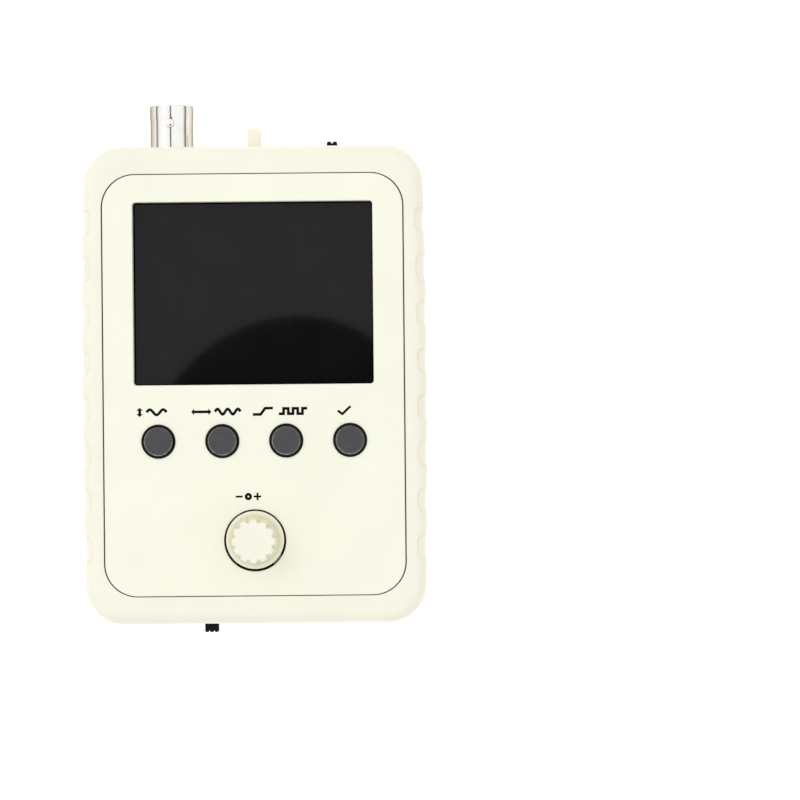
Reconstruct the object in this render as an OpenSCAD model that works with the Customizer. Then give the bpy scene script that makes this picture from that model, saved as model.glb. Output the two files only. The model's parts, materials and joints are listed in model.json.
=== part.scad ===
// Handheld oscilloscope: a pocket-size plastic case with a display, four buttons, a
// knob that turns and pushes, a coaxial input jack, two slide switches, a test
// terminal and a DC inlet. Two boards carry the works between the case's two shells.
// It lies on its back: the origin is the centre of the flat rear face, +Z is the way
// the display faces, and +Y points to the end with the input jack. Millimetres.

/* [Case] */
// Length of the case, without the jack
case_l = 105; // [104:0.5:108]
// Width of the case at its corners
case_w = 75; // [74.5:0.5:77]
// Thickness of the case
case_t = 22; // [22:0.5:24]
// How far each long side bows out at its middle
side_bow = 0.5; // [0.3:0.1:1]
// Radius of the four corners, seen from the front
corner_r = 8.5; // [8.25:0.25:9]
// Radius of the rounded edges at the front and the back
edge_r = 3; // [2.5:0.25:3.5]
// Wall thickness of the shells
wall_t = 1.8; // [1.6:0.1:2]
// Height of the parting line between the shells
parting_z = 11; // [10.5:0.25:11.5]

/* [Side grips] */
// Number of grip recesses on each side
grip_count = 8; // [4:2:8]
// Distance from one recess to the next
grip_pitch = 10.25; // [9:0.05:10.5]
// Length of one recess along the side
grip_l = 5.5; // [4:0.25:6]
// Depth of a recess in the side wall
grip_depth = 0.3; // [0.2:0.05:0.5]
// How far a recess reaches over the shoulder, from the side inwards
grip_reach = 2.1; // [1.5:0.1:2.5]

/* [Front panel] */
// Width of the inset front panel
panel_w = 66; // [65.6:0.2:66.4]
// Length of the inset front panel
panel_l = 92.4; // [92:0.2:93]
// Corner radius of the front panel
panel_r = 7.2; // [7:0.1:7.6]
// Offset of the panel's centre from the case's centre, along the length
panel_y = 0; // [-0.2:0.1:0.4]
// Thickness of the front panel
panel_t = 2; // [1.8:0.1:2]
// Seam between the panel and the front shell
panel_gap = 0.15; // [0.1:0.05:0.25]

/* [Display] */
// Width of the display window
window_w = 52.6; // [50:0.2:53]
// Height of the display window
window_l = 40.1; // [38:0.5:41]
// Position of the window's centre along the case
window_y = 20.1; // [20:0.1:20.3]

/* [Buttons] */
// Diameter of a button cap
button_d = 6.3; // [6:0.1:6.6]
// Diameter of a button hole in the panel
button_hole_d = 7.5; // [7.2:0.1:7.7]
// Distance from one button to the next
button_pitch = 14; // [13.5:0.1:14.4]
// Position of the button row along the case
button_y = -12.3; // [-12.5:0.1:-11.9]
// How far a cap stands out of the panel
button_stand = 0.8; // [0.5:0.1:1.5]
// Travel of a button
button_travel = 0.4; // [0.2:0.05:0.4]

/* [Knob] */
// Diameter of the knob at its foot
knob_d = 12.8; // [12.5:0.1:13]
// Diameter of the knob's flat top
knob_top_d = 9.6; // [9.2:0.1:10]
// Diameter of the knob hole in the panel
knob_hole_d = 13.5; // [13.4:0.1:13.8]
// Height of the knob above the panel
knob_h = 7; // [6:0.5:9]
// Position of the knob along the case
knob_y = -34; // [-34.3:0.1:-33.8]
// Push travel of the knob
knob_travel = 0.5; // [0.2:0.1:0.5]
// Number of flutes round the knob
knob_flutes = 12; // [8:1:16]

/* [Input jack] */
// Position of the jack across the case
jack_x = -18.4; // [-18.8:0.2:-18]
// Diameter of the jack's front land
jack_d = 9.6; // [9.5:0.05:9.7]
// How far the jack stands out of the case
jack_out = 9.8; // [9:0.2:12]

/* [Slide switches] */
// Position of the coupling lever across the case
coupling_x = 0; // [-0.4:0.2:0.6]
// Width of the coupling lever
coupling_w = 2.9; // [2.5:0.1:3]
// How far the coupling lever stands out of the case
coupling_out = 4.8; // [3:0.1:5]
// Travel of the coupling lever to each side
coupling_travel = 2; // [1:0.25:2]
// Position of the power lever across the case, when off
power_x = -10.4; // [-10.6:0.2:-9.8]
// Width of the power lever
power_w = 3; // [2.5:0.1:3]
// How far the power lever stands out of the case
power_out = 2.5; // [1.5:0.1:3]
// Travel of the power lever, from off to on
power_travel = 2; // [1:0.25:2]

/* [Test terminal and DC inlet] */
// Position of the test terminal across the case
terminal_x = 17.4; // [16:0.2:19]
// How far the terminal's wire loop stands out of the case
terminal_out = 2; // [1.5:0.1:3]
// Position of the DC inlet across the case
inlet_x = 12; // [10:0.5:14]
// Height of the DC inlet's axis
inlet_z = 9.8; // [9.8:0.1:10]
// Diameter of the DC inlet's socket
inlet_d = 6.3; // [6:0.1:6.4]

/* [Hidden] */
$fn = 64;

// Outline: each bowed side runs on smoothly from the corner arcs
half_l = case_l / 2;
half_w = case_w / 2 + side_bow;
corner_x = case_w / 2 - corner_r;
corner_y = half_l - corner_r;
side_r = (corner_y * corner_y + side_bow * side_bow) / (2 * side_bow) + corner_r;
side_x = half_w - side_r;
side_fn = 12000;
section_fn = 48;
section_w = corner_r - 0.5;
floor_overlap = 1.5;

// Levels above the rear face
fit_gap = 0.05;
lip_t = 0.85;
lip_h = 1.15;
panel_z = case_t - panel_t;
tape_t = 0.15;
ledge_z = panel_z - tape_t - fit_gap;
ledge_w = 1.5;
rim_z = ledge_z - 1.4;
board_t = 1.6;
analog_z = wall_t + 1.6;
analog_top = analog_z + board_t;
main_z = case_t - 7.6;
main_top = main_z + board_t;
axis_z = parting_z;

// Boards
analog_w = 67.2;
analog_l = 82.6;
analog_tail_w = 52.4;
analog_tail_l = 99.6;
main_w = 68.8;
main_l = 83.8;
main_y = -0.1;
board_screw_r = 1.0;
board_hole_r = 1.1;
board_head_r = 1.9;
board_head_h = 1.2;
main_post_x = 32.3;
main_post_ys = [-38.5, 38];
main_post_r = 2;
analog_post_x = 31;
analog_post_y = 36;
analog_post_r = 2.5;

// Case screws
boss_x = 30.6;
boss_y = 45.6;
boss_r = 3.2;
boss_top = rim_z + 0.6;
well_r = 2.3;
well_h = 3;
screw_r = 1.0;
screw_hole_r = 1.2;
pilot_r = 1.05;
screw_head_r = 2;
screw_head_h = 1.6;
screw_end = 17;

// Display module
module_w = 60.2;
module_l = 42.7;
backlight_h = 2.05;
glass_w = 59.2;
glass_l = 42;
glass_z = main_top + backlight_h + 2 * fit_gap;
glass_h = 1.2;
gasket_z = glass_z + glass_h + fit_gap;
gasket_h = panel_z - gasket_z - fit_gap;
flex_w = 18;
flex_t = 0.2;

// Buttons
button_xs = [for (i = [-1.5 : 1.5]) i * button_pitch];
flange_r = button_hole_d / 2 + 0.5;
flange_h = 1;
flange_z = panel_z - 0.1 - flange_h;
switch_w = 6;
switch_h = 2.3;
plunger_r = 1.7;
plunger_z = main_top + 0.9 + button_travel;
dome_t = 0.25;

// Knob and encoder
spindle_r = 3;
spindle_flat = 0.75;
run_gap = 0.05;
encoder_board_z = main_z - 3.5;
encoder_z = encoder_board_z + board_t + fit_gap;
encoder_w = 12;
encoder_h = 4.6;
rotor_r = 4.4;
rotor_h = 1.5;
rotor_z = encoder_z + 1.6;
bush_h = 2;
knob_z = panel_z + 0.6;
knob_top = case_t + knob_h;
knob_skirt_h = 1.9;
spindle_top = knob_top - 1.6;

// Input jack
jack_land = 3.1;
jack_neck_r = jack_d / 2 - 0.2;
jack_bore_r = 4.1;
jack_tip_y = half_l + jack_out;
jack_block_w = 14;
jack_block_y = 42.2;
jack_block_l = 8.4;
jack_hole_r = jack_d / 2 + 0.3;
lug_r = 0.95;
lug_out = 0.75;
insulator_r = 2.4;
contact_r = 0.7;

// Slide switches
can_w = 13;
can_l = 6.2;
can_h = 6.8;
can_t = 0.5;
can_y = half_l - wall_t - 0.3 - can_l;
stem_w = 2.2;
stem_h = 2;
slot_gap = 0.35;
lever_h = 3;
power_mid_x = power_x + power_travel / 2;

// Test terminal
loop_wire_r = 0.35;
loop_r = 1.6;
bead_w = 2.3;

// ---- Shapes shared by several parts ----

// Sweeps a wall section round the case: x = 0 is the outer face, inwards is negative.
// A quarter of the way round is an end, a corner and half of a bowed side.
module sweep_outline() {
    mirror_both()
        union() {
            translate([0, half_l, 0])
                rotate([90, 0, 90])
                    linear_extrude(corner_x) children();
            difference() {
                translate([corner_x, corner_y, 0])
                    rotate_extrude(angle = 90) translate([corner_r, 0]) children();
                side_zone();
            }
            intersection() {
                sweep_side(0, 2) children();
                side_zone();
            }
        }
}

// Quarter of the plan where the side's arc rules: it ends on the line through both
// arcs' centres, where they share a tangent
module side_zone() {
    reach = 1.01;
    far = [side_x + (corner_x - side_x) * reach, corner_y * reach];
    translate([0, 0, -1])
        linear_extrude(case_t + 2)
            polygon([[0, 0], [far[0], 0], far, [corner_x, corner_y], [0, corner_y]]);
}

// Sweeps a section along part of the right-hand side, from one angle of its arc
module sweep_side(from, sweep) {
    translate([side_x, 0, 0])
        rotate([0, 0, from])
            rotate_extrude(angle = sweep, $fn = side_fn)
                let ($fn = section_fn) translate([side_r, 0]) children();
}

// Repeats something in all four quarters of the case
module mirror_both() {
    for (x = [0, 1], y = [0, 1]) {
        mirror([x, 0, 0]) mirror([0, y, 0]) children();
    }
}

// Box centred in x and y, standing on its base
module block(size, at = [0, 0, 0]) {
    translate([at[0] - size[0] / 2, at[1] - size[1] / 2, at[2]]) cube(size);
}

// Upright cylinder
module post(r, h, at = [0, 0, 0]) {
    translate(at) cylinder(r = r, h = h);
}

// Rectangle with round corners, centred
module round_rect(w, l, r) {
    square([w - 2 * r, l], center = true);
    square([w, l - 2 * r], center = true);
    for (x = [-1, 1], y = [-1, 1]) {
        translate([x * (w / 2 - r), y * (l / 2 - r)]) circle(r);
    }
}

// Outline of the front panel, grown or shrunk all round
module panel_outline(grow) {
    translate([0, panel_y])
        round_rect(panel_w + 2 * grow, panel_l + 2 * grow, panel_r + grow);
}

// Cylinder along +Y
module rod_y(r, l, at) {
    translate(at) rotate([-90, 0, 0]) cylinder(r = r, h = l);
}

// ---- Case ----

// Quarter-round outer edge of a shell's section, with its corner at the origin
module edge_round() {
    intersection() {
        translate([-edge_r, 0]) circle(edge_r);
        translate([-edge_r, 0]) square(edge_r);
    }
}

// Section of the rear shell: floor, wall and the lip inside the parting line
module rear_section() {
    difference() {
        union() {
            translate([0, edge_r]) mirror([0, 1]) edge_round();
            translate([-section_w, 0]) square([section_w - edge_r, parting_z - fit_gap]);
            translate([-edge_r, edge_r]) square([edge_r, parting_z - fit_gap - edge_r]);
        }
        translate([-corner_r, wall_t]) square([corner_r - wall_t, parting_z]);
    }
    translate([-wall_t, parting_z - 1])
        square([wall_t - lip_t - fit_gap, lip_h + 1 - fit_gap]);
}

// Section of the front shell: wall, rim and the groove that takes the lip
module front_section() {
    difference() {
        union() {
            translate([0, case_t - edge_r]) edge_round();
            translate([-section_w, rim_z]) square([section_w - edge_r, case_t - rim_z]);
            translate([-edge_r, parting_z]) square([edge_r, case_t - edge_r - parting_z]);
        }
        translate([-edge_r - 1, parting_z - 1])
            square([edge_r + 1 - wall_t, rim_z + 1 - parting_z]);
        translate([-edge_r - 1, parting_z - 1])
            square([edge_r + 1 - lip_t, lip_h + 1]);
    }
}

// Section that a grip recess takes off the side and both shoulders
module grip_section() {
    round_r = edge_r - grip_depth;
    difference() {
        translate([-grip_reach, -1]) square([grip_reach + 1, case_t + 2]);
        translate([-edge_r, edge_r]) circle(round_r);
        translate([-edge_r, case_t - edge_r]) circle(round_r);
        translate([-edge_r, edge_r]) square([round_r, case_t - 2 * edge_r]);
    }
}

// All the grip recesses, with round inner corners as seen from the front
module grips() {
    grip_a = asin(grip_l / side_r);
    round_r = 1.4;
    for (turn = [0, 180], i = [0 : grip_count - 1]) {
        y = (i - (grip_count - 1) / 2) * grip_pitch;
        rotate([0, 0, turn])
            intersection() {
                sweep_side(asin(y / side_r) - grip_a, 2 * grip_a) grip_section();
                translate([half_w + 5 - grip_reach, y, -1])
                    linear_extrude(case_t + 2) round_rect(10, grip_l, round_r);
            }
    }
}

// Openings in the two end walls for everything that passes through them
module end_openings() {
    deep = 8;
    top_y = half_l - deep / 2;
    terminal_w = bead_w + 2 * slot_gap;
    terminal_h = 2 * (loop_r + loop_wire_r + slot_gap) + 1;
    coupling_slot = coupling_w + 2 * (coupling_travel + slot_gap);
    power_slot = power_w + power_travel + 2 * slot_gap;
    slot_h = lever_h + 2 * slot_gap;
    rod_y(jack_hole_r, deep, [jack_x, top_y, axis_z]);
    block([coupling_slot, deep, slot_h], [coupling_x, half_l, axis_z - slot_h / 2]);
    block([terminal_w, deep, terminal_h], [terminal_x, half_l, axis_z - terminal_h / 2]);
    block([power_slot, deep, slot_h], [power_mid_x, -half_l, axis_z - slot_h / 2]);
    rod_y(inlet_d / 2 + 0.9, deep, [inlet_x, -half_l - deep / 2, inlet_z]);
}

// Places something at each of the case's four screws
module at_case_screws() {
    for (x = [-1, 1], y = [-1, 1]) {
        translate([x * boss_x, y * boss_y, 0]) children();
    }
}

// Places something at each of the analog board's four screws
module at_analog_screws() {
    for (x = [-1, 1], y = [-1, 1]) {
        translate([x * analog_post_x, y * analog_post_y, 0]) children();
    }
}

// Places something at each of the main board's four screws
module at_main_screws() {
    for (x = [-1, 1], y = main_post_ys) {
        translate([x * main_post_x, y, 0]) children();
    }
}

module rear_shell() {
    color("ivory")
        difference() {
            union() {
                sweep_outline() rear_section();
                block([2 * (corner_x + floor_overlap), 2 * (corner_y + floor_overlap), wall_t]);
                at_case_screws() post(boss_r, parting_z - fit_gap);
                at_analog_screws() post(analog_post_r, analog_z - fit_gap);
            }
            grips();
            end_openings();
            at_case_screws() post(well_r, well_h + 1, [0, 0, -1]);
            at_case_screws() post(screw_hole_r, parting_z);
            at_analog_screws() post(pilot_r, 3, [0, 0, 1.2]);
            rear_groove();
        }
}

// Shallow frame line sunk into the rear face
module rear_groove() {
    groove_t = 0.3;
    translate([0, 0, -1])
        linear_extrude(1 + groove_t)
            difference() {
                round_rect(case_w - 24, case_l - 34, 3.6);
                round_rect(case_w - 25.2, case_l - 35.2, 3);
            }
}

module front_shell() {
    color("ivory")
        difference() {
            union() {
                difference() {
                    union() {
                        sweep_outline() front_section();
                        ledge_corners();
                    }
                    translate([0, 0, ledge_z])
                        linear_extrude(case_t) panel_outline(panel_gap);
                    translate([0, 0, rim_z - 1])
                        linear_extrude(case_t) panel_outline(-ledge_w);
                }
                at_case_screws() post(boss_r, boss_top - parting_z, [0, 0, parting_z]);
                at_main_screws() main_post();
            }
            grips();
            end_openings();
            at_case_screws() post(pilot_r, screw_end + 0.4 - parting_z + 1, [0, 0, parting_z - 1]);
            at_main_screws() post(board_hole_r - 0.05, 3, [0, 0, main_top - 1]);
        }
}

// Fills the ledge's corners, inside the reach of the wall's section
module ledge_corners() {
    corner_w = 3;
    mirror_both()
        translate([corner_x - 2, corner_y - 2, rim_z])
            cube([corner_w, corner_w, ledge_z - rim_z]);
}

// Post under the front shell's rim that a main board screw bites into
module main_post() {
    post(main_post_r, ledge_z - 0.4 - main_top, [0, 0, main_top + fit_gap]);
}

module front_panel() {
    window_r = 0.8;
    color("beige")
        translate([0, 0, panel_z])
            difference() {
                linear_extrude(panel_t) panel_outline(0);
                translate([0, window_y, -1])
                    linear_extrude(panel_t + 2) round_rect(window_w, window_l, window_r);
                for (x = button_xs) {
                    post(button_hole_d / 2, panel_t + 2, [x, button_y, -1]);
                }
                post(knob_hole_d / 2, panel_t + 2, [0, knob_y, -1]);
            }
}

module panel_tape() {
    color("whitesmoke")
        translate([0, 0, ledge_z + fit_gap / 2])
            linear_extrude(tape_t)
                difference() {
                    panel_outline(-0.2);
                    panel_outline(-ledge_w);
                }
}

// ---- Display ----

// Foam frame between the glass and the panel, whose inner edge shows in the window
module lcd_gasket() {
    margin = 0.4;
    shown = 0.25;
    color("dimgray")
        translate([0, window_y, gasket_z])
            linear_extrude(gasket_h)
                difference() {
                    square([glass_w - margin, glass_l + margin], center = true);
                    square([window_w - 2 * shown, window_l - 2 * shown], center = true);
                }
}

module lcd_glass() {
    color("black") block([glass_w, glass_l, glass_h], [0, window_y, glass_z]);
}

module lcd_backlight() {
    color("white")
        block([module_w, module_l, backlight_h], [0, window_y, main_top + fit_gap]);
}

// Ribbon that bends from under the glass round to the main board
module lcd_flex() {
    bend_r = (glass_z - flex_t - main_top) / 2;
    bend_x = module_w / 2 + 0.1;
    color("orange")
        translate([bend_x, window_y, main_top + fit_gap + bend_r])
            rotate([90, 0, 0])
                linear_extrude(flex_w, center = true)
                    difference() {
                        circle(bend_r);
                        circle(bend_r - flex_t);
                        translate([-2 * bend_r, -bend_r]) square(2 * bend_r);
                    }
}

// ---- Main board ----

module main_board() {
    cutout = 1.5;
    color("darkgreen")
        difference() {
            block([main_w, main_l, board_t], [0, main_y, main_z]);
            block([encoder_w + cutout, encoder_w + cutout, 4], [0, knob_y, main_z - 1]);
            at_main_screws() post(board_hole_r, 4, [0, 0, main_z - 1]);
        }
}

// Chips under the main board: controller, memory, regulator and crystal
module main_board_chips() {
    chips = [[7, 7, 1.4, -12, 6], [5, 4, 1.5, -12, -8], [6.5, 3.5, 1.6, -24, -20], [11, 4.6, 3.5, 2, 14]];
    color("dimgray")
        for (c = chips) {
            block([c[0], c[1], c[2]], [c[3], c[4], main_z - fit_gap - c[2]]);
        }
}

module header_socket() {
    pins = 10;
    pitch = 2.54;
    socket_h = 6.75;
    socket_z = main_z - fit_gap - socket_h;
    color("black")
        difference() {
            block([2.5, pins * pitch, socket_h], [24, -12, socket_z]);
            for (i = [0 : pins - 1]) {
                y = -12 + (i - (pins - 1) / 2) * pitch;
                block([0.9, 0.9, socket_h], [24, y, socket_z - 0.5]);
            }
        }
}

module tact_switch(i) {
    color("black")
        translate([button_xs[i - 1], button_y, main_top + fit_gap])
            difference() {
                block([switch_w, switch_w, switch_h]);
                post(plunger_r + run_gap, switch_h, [0, 0, 0.5]);
            }
}

// Snap domes that return the four buttons
module tact_domes() {
    color("silver")
        for (x = button_xs) {
            post(plunger_r - 0.1, dome_t, [x, button_y, main_top + 0.6]);
        }
}

module button_plunger(i) {
    color("black")
        post(plunger_r, flange_z - fit_gap - plunger_z, [button_xs[i - 1], button_y, plunger_z]);
}

module button_cap(i) {
    crown = 0.5;
    top = case_t + button_stand;
    color("dimgray")
        translate([button_xs[i - 1], button_y, 0]) {
            post(flange_r, flange_h, [0, 0, flange_z]);
            post(button_d / 2, top - crown - flange_z, [0, 0, flange_z]);
            translate([0, 0, top - crown])
                cylinder(r1 = button_d / 2, r2 = button_d / 2 - crown, h = crown);
        }
}

// ---- Analog board ----

module analog_board() {
    color("darkgreen")
        difference() {
            union() {
                block([analog_w, analog_l, board_t], [0, 0, analog_z]);
                block([analog_tail_w, analog_tail_l, board_t], [0, 0, analog_z]);
            }
            at_analog_screws() post(board_hole_r, 4, [0, 0, analog_z - 1]);
        }
}

module analog_board_chips() {
    chips = [[5, 4, 1.5, -2, 8], [5, 4, 1.5, -12, 8], [5, 4, 1.5, -22, 8], [10, 4, 1.5, 6, -4]];
    color("dimgray")
        for (c = chips) {
            block([c[0], c[1], c[2]], [c[3], c[4], analog_top + fit_gap]);
        }
}

module header_pins() {
    pins = 10;
    pitch = 2.54;
    pin_w = 0.64;
    base_h = 2.4;
    color("gold") {
        block([2.5, pins * pitch, base_h], [24, -12, analog_top + fit_gap]);
        for (i = [0 : pins - 1]) {
            y = -12 + (i - (pins - 1) / 2) * pitch;
            block([pin_w, pin_w, 7.6], [24, y, analog_top + fit_gap]);
        }
    }
}

// Folded metal can over the input divider
module shield_can() {
    can = [22, 16, 4];
    sheet = 0.3;
    color("silver")
        translate([-19, 24, analog_top + fit_gap])
            difference() {
                block(can);
                block([can[0] - 2 * sheet, can[1] - 2 * sheet, can[2] - sheet], [0, 0, -0.01]);
            }
}

module capacitors() {
    spots = [[-6, -22], [-15, -22], [-24, -22], [14, -28], [-26, -34]];
    color("silver")
        for (s = spots) {
            post(2.5, 5.2, [s[0], s[1], analog_top + fit_gap]);
        }
}

module trimmers() {
    color("goldenrod")
        for (x = [0, 8]) {
            translate([x, 27, analog_top + fit_gap])
                difference() {
                    post(3, 3.4);
                    block([0.8, 3, 1], [0, 0, 2.8]);
                }
        }
}

// ---- Input jack ----

module jack_block() {
    below = axis_z - analog_top - fit_gap;
    color("gainsboro")
        difference() {
            block([jack_block_w, jack_block_l, 2 * below],
                  [jack_x, jack_block_y + jack_block_l / 2, axis_z - below]);
            rod_y(insulator_r + fit_gap, 20, [jack_x, jack_block_y - 2, axis_z]);
        }
}

module jack_shell() {
    base_y = jack_block_y + jack_block_l + fit_gap;
    land_y = jack_tip_y - jack_land;
    color("silver")
        difference() {
            union() {
                rod_y(jack_neck_r, jack_tip_y - base_y, [jack_x, base_y, axis_z]);
                rod_y(jack_d / 2, jack_land, [jack_x, land_y, axis_z]);
                for (side = [-1, 1]) {
                    translate([jack_x, land_y - lug_r - 0.1, axis_z])
                        rotate([90 - 90 * side, 0, 0])
                            cylinder(r = lug_r, h = jack_d / 2 + lug_out);
                }
            }
            rod_y(jack_bore_r, jack_out, [jack_x, half_l + 0.5, axis_z]);
            rod_y(insulator_r + fit_gap, 30, [jack_x, base_y - 1, axis_z]);
        }
}

module jack_insulator() {
    back_y = jack_block_y + 1;
    color("white")
        difference() {
            rod_y(insulator_r, jack_tip_y - 2 - back_y, [jack_x, back_y, axis_z]);
            rod_y(contact_r + fit_gap, 40, [jack_x, back_y - 1, axis_z]);
        }
}

module jack_contact() {
    back_y = jack_block_y + 0.2;
    bore_r = 0.45;
    color("gold")
        difference() {
            rod_y(contact_r, jack_tip_y - 2.2 - back_y, [jack_x, back_y, axis_z]);
            rod_y(bore_r, 6, [jack_x, jack_tip_y - 7, axis_z]);
        }
}

// ---- Slide switches: drawn at the top end, turned round for the bottom end ----

// Metal can on two legs, with a slot in front for the lever's stem
module switch_can(x) {
    leg_h = axis_z - can_h / 2 - analog_top - fit_gap;
    slot = stem_w + 2 * (coupling_travel + slot_gap);
    color("silver")
        translate([x, can_y + can_l / 2, axis_z - can_h / 2]) {
            difference() {
                block([can_w, can_l, can_h]);
                block([can_w - 2 * can_t, can_l - 2 * can_t, can_h - 2 * can_t], [0, 0, can_t]);
                block([slot, 2, stem_h + 2 * slot_gap],
                      [0, can_l / 2, can_h / 2 - stem_h / 2 - slot_gap]);
            }
            for (side = [-1, 1]) {
                block([1, 1, leg_h + 0.2], [side * (can_w / 2 - 1), 0, -leg_h]);
            }
        }
}

// Sprung contact that the lever's foot carries from pad to pad
module switch_contact(x) {
    color("gold")
        translate([x, can_y + can_t + 0.7, axis_z - 1.5])
            difference() {
                block([4.4, 1, 3]);
                block([3.4, 1, 4], [0, -0.4, -0.5]);
            }
}

// Foot inside the can, stem through its slot, and the grip that the finger meets
module switch_lever(x, w, out) {
    foot = [6, 3.4, can_h - 2 * can_t - 0.4];
    foot_y = can_y + can_l - can_t - 0.1 - foot[1] / 2;
    grip_y = can_y + can_l + 0.1;
    tip_y = half_l + out;
    tip_r = 0.8;
    translate([x, 0, axis_z]) {
        block(foot, [0, foot_y, -foot[2] / 2]);
        block([stem_w, 3, stem_h], [0, foot_y + foot[1] / 2 + 1, -stem_h / 2]);
        translate([0, 0, -lever_h / 2])
            linear_extrude(lever_h) {
                translate([-w / 2, grip_y]) square([w, tip_y - tip_r - grip_y]);
                translate([-w / 2 + tip_r, grip_y]) square([w - 2 * tip_r, tip_y - grip_y]);
                for (side = [-1, 1]) {
                    translate([side * (w / 2 - tip_r), tip_y - tip_r]) circle(tip_r);
                }
            }
    }
}

module coupling_can() {
    switch_can(coupling_x);
}

module coupling_contact() {
    switch_contact(coupling_x);
}

module coupling_lever() {
    color("ivory") switch_lever(coupling_x, coupling_w, coupling_out);
}

module power_can() {
    rotate([0, 0, 180]) switch_can(-power_mid_x);
}

module power_contact() {
    rotate([0, 0, 180]) switch_contact(-power_x);
}

module power_lever() {
    color("black") rotate([0, 0, 180]) switch_lever(-power_x, power_w, power_out);
}

// ---- Test terminal and DC inlet ----

// Two insulating beads, one on each leg of the wire loop, on a foot inside the wall
module terminal_base() {
    inside_y = half_l - wall_t - 0.3;
    bead_r = 0.65;
    bead_out = 1.5;
    bead_y = half_l + bead_out - bead_r;
    h = 2 * loop_r + 1.6;
    color("black")
        difference() {
            union() {
                block([4, 1.5, h + 2], [terminal_x, inside_y - 0.75, axis_z - h / 2 - 1]);
                translate([terminal_x - bead_w / 2, inside_y - 0.3, axis_z - h / 2])
                    cube([bead_w, bead_y - inside_y + 0.3, h]);
                for (side = [-1, 1]) {
                    post(bead_r, h, [terminal_x + side * (bead_w / 2 - bead_r), bead_y, axis_z - h / 2]);
                }
            }
            terminal_wire(loop_wire_r + fit_gap, 0.5);
        }
}

// Wire path: two straight legs joined by a half turn
module terminal_wire(r, longer) {
    bend_y = half_l + terminal_out - loop_wire_r - loop_r;
    leg_y = half_l - wall_t - 1.7 - longer;
    translate([terminal_x, bend_y, axis_z])
        rotate([90, 0, 90])
            rotate([0, 0, -90])
                rotate_extrude(angle = 180) translate([loop_r, 0]) circle(r);
    for (side = [-1, 1]) {
        rod_y(r, bend_y - leg_y, [terminal_x, leg_y, axis_z + side * loop_r]);
    }
}

module terminal_loop() {
    color("silver") terminal_wire(loop_wire_r, 0);
}

module inlet_body() {
    body_h = main_z - 0.2 - analog_top - fit_gap;
    body_l = 12;
    front_y = -half_l + wall_t + 0.3;
    color("black")
        difference() {
            union() {
                block([9, body_l, body_h], [inlet_x, front_y + body_l / 2, analog_top + fit_gap]);
                rod_y(inlet_d / 2 + 0.6, 2, [inlet_x, front_y - 1.6, inlet_z]);
            }
            rod_y(inlet_d / 2, 11, [inlet_x, front_y - 2, inlet_z]);
            rod_y(0.8 + fit_gap, 20, [inlet_x, front_y, inlet_z]);
        }
}

module inlet_pin() {
    pin_r = 1;
    front_y = -half_l + wall_t + 1;
    color("silver") {
        rod_y(pin_r, 6.5, [inlet_x, front_y, inlet_z]);
        rod_y(0.8, 4, [inlet_x, front_y + 6.4, inlet_z]);
    }
}

// ---- Encoder and knob ----

module encoder_board() {
    color("darkgreen") block([14.6, 18, board_t], [0, knob_y + 1.2, encoder_board_z]);
}

// Pin strip that joins the encoder's board to the main board above it
module encoder_link() {
    link_h = main_z - encoder_board_z - board_t - 2 * fit_gap;
    color("black")
        block([12.7, 2.2, link_h], [0, knob_y + 8.5, encoder_board_z + board_t + fit_gap]);
}

module encoder_base() {
    color("dimgray")
        translate([0, knob_y, 0])
            difference() {
                block([encoder_w, encoder_w, encoder_h], [0, 0, encoder_z]);
                post(rotor_r + run_gap, rotor_h + 2 * run_gap, [0, 0, rotor_z - run_gap]);
                post(spindle_r + run_gap, encoder_h, [0, 0, encoder_z + 0.6]);
            }
}

module encoder_bush() {
    color("silver")
        translate([0, knob_y, encoder_z + encoder_h + fit_gap])
            difference() {
                union() {
                    post(3.5, bush_h);
                    block([encoder_w - 1, encoder_w - 1, 0.4]);
                }
                post(spindle_r + run_gap, bush_h + 2, [0, 0, -1]);
            }
}

// Section of the round spindle with its flat, grown all round
module spindle_section(grow) {
    r = spindle_r + grow;
    difference() {
        circle(r);
        translate([r - spindle_flat, -r]) square(2 * r);
    }
}

// Contact wheel that turns with the spindle and lets it slide
module encoder_rotor() {
    color("black")
        translate([0, knob_y, rotor_z])
            linear_extrude(rotor_h)
                difference() {
                    circle(rotor_r);
                    spindle_section(run_gap);
                }
}

module encoder_spindle() {
    foot_z = encoder_z + 0.6 + knob_travel + 0.1;
    color("silver")
        translate([0, knob_y, foot_z])
            linear_extrude(spindle_top - foot_z) spindle_section(0);
}

module knob() {
    shoulder_r = knob_d / 2 - 1.2;
    flute_r = 0.6;
    flute_depth = 0.4;
    flute_tilt = atan((shoulder_r - knob_top_d / 2) / (knob_top - knob_z - knob_skirt_h));
    color("ivory")
        translate([0, knob_y, knob_z])
            difference() {
                union() {
                    cylinder(d = knob_d, h = knob_skirt_h);
                    translate([0, 0, knob_skirt_h])
                        cylinder(r1 = shoulder_r, r2 = knob_top_d / 2,
                                 h = knob_top - knob_z - knob_skirt_h);
                }
                for (i = [0 : knob_flutes - 1]) {
                    rotate([0, 0, (i + 0.5) * 360 / knob_flutes])
                        translate([shoulder_r + flute_r - flute_depth, 0, knob_skirt_h])
                            rotate([0, -flute_tilt, 0])
                                cylinder(r = flute_r, h = 12);
                }
                translate([0, 0, -1])
                    linear_extrude(spindle_top - knob_z + 1 + fit_gap) spindle_section(fit_gap);
            }
}

// ---- Screws: each node is one set of four ----

// Cross-recessed pan-head screw that points up from its head
module screw(head_r, head_h, shank_r, shank_l) {
    recess = 0.7;
    difference() {
        union() {
            post(head_r, head_h);
            post(shank_r, head_h + shank_l);
        }
        block([2 * recess * head_r, 0.5, recess], [0, 0, -0.01]);
        block([0.5, 2 * recess * head_r, recess], [0, 0, -0.01]);
    }
}

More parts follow.
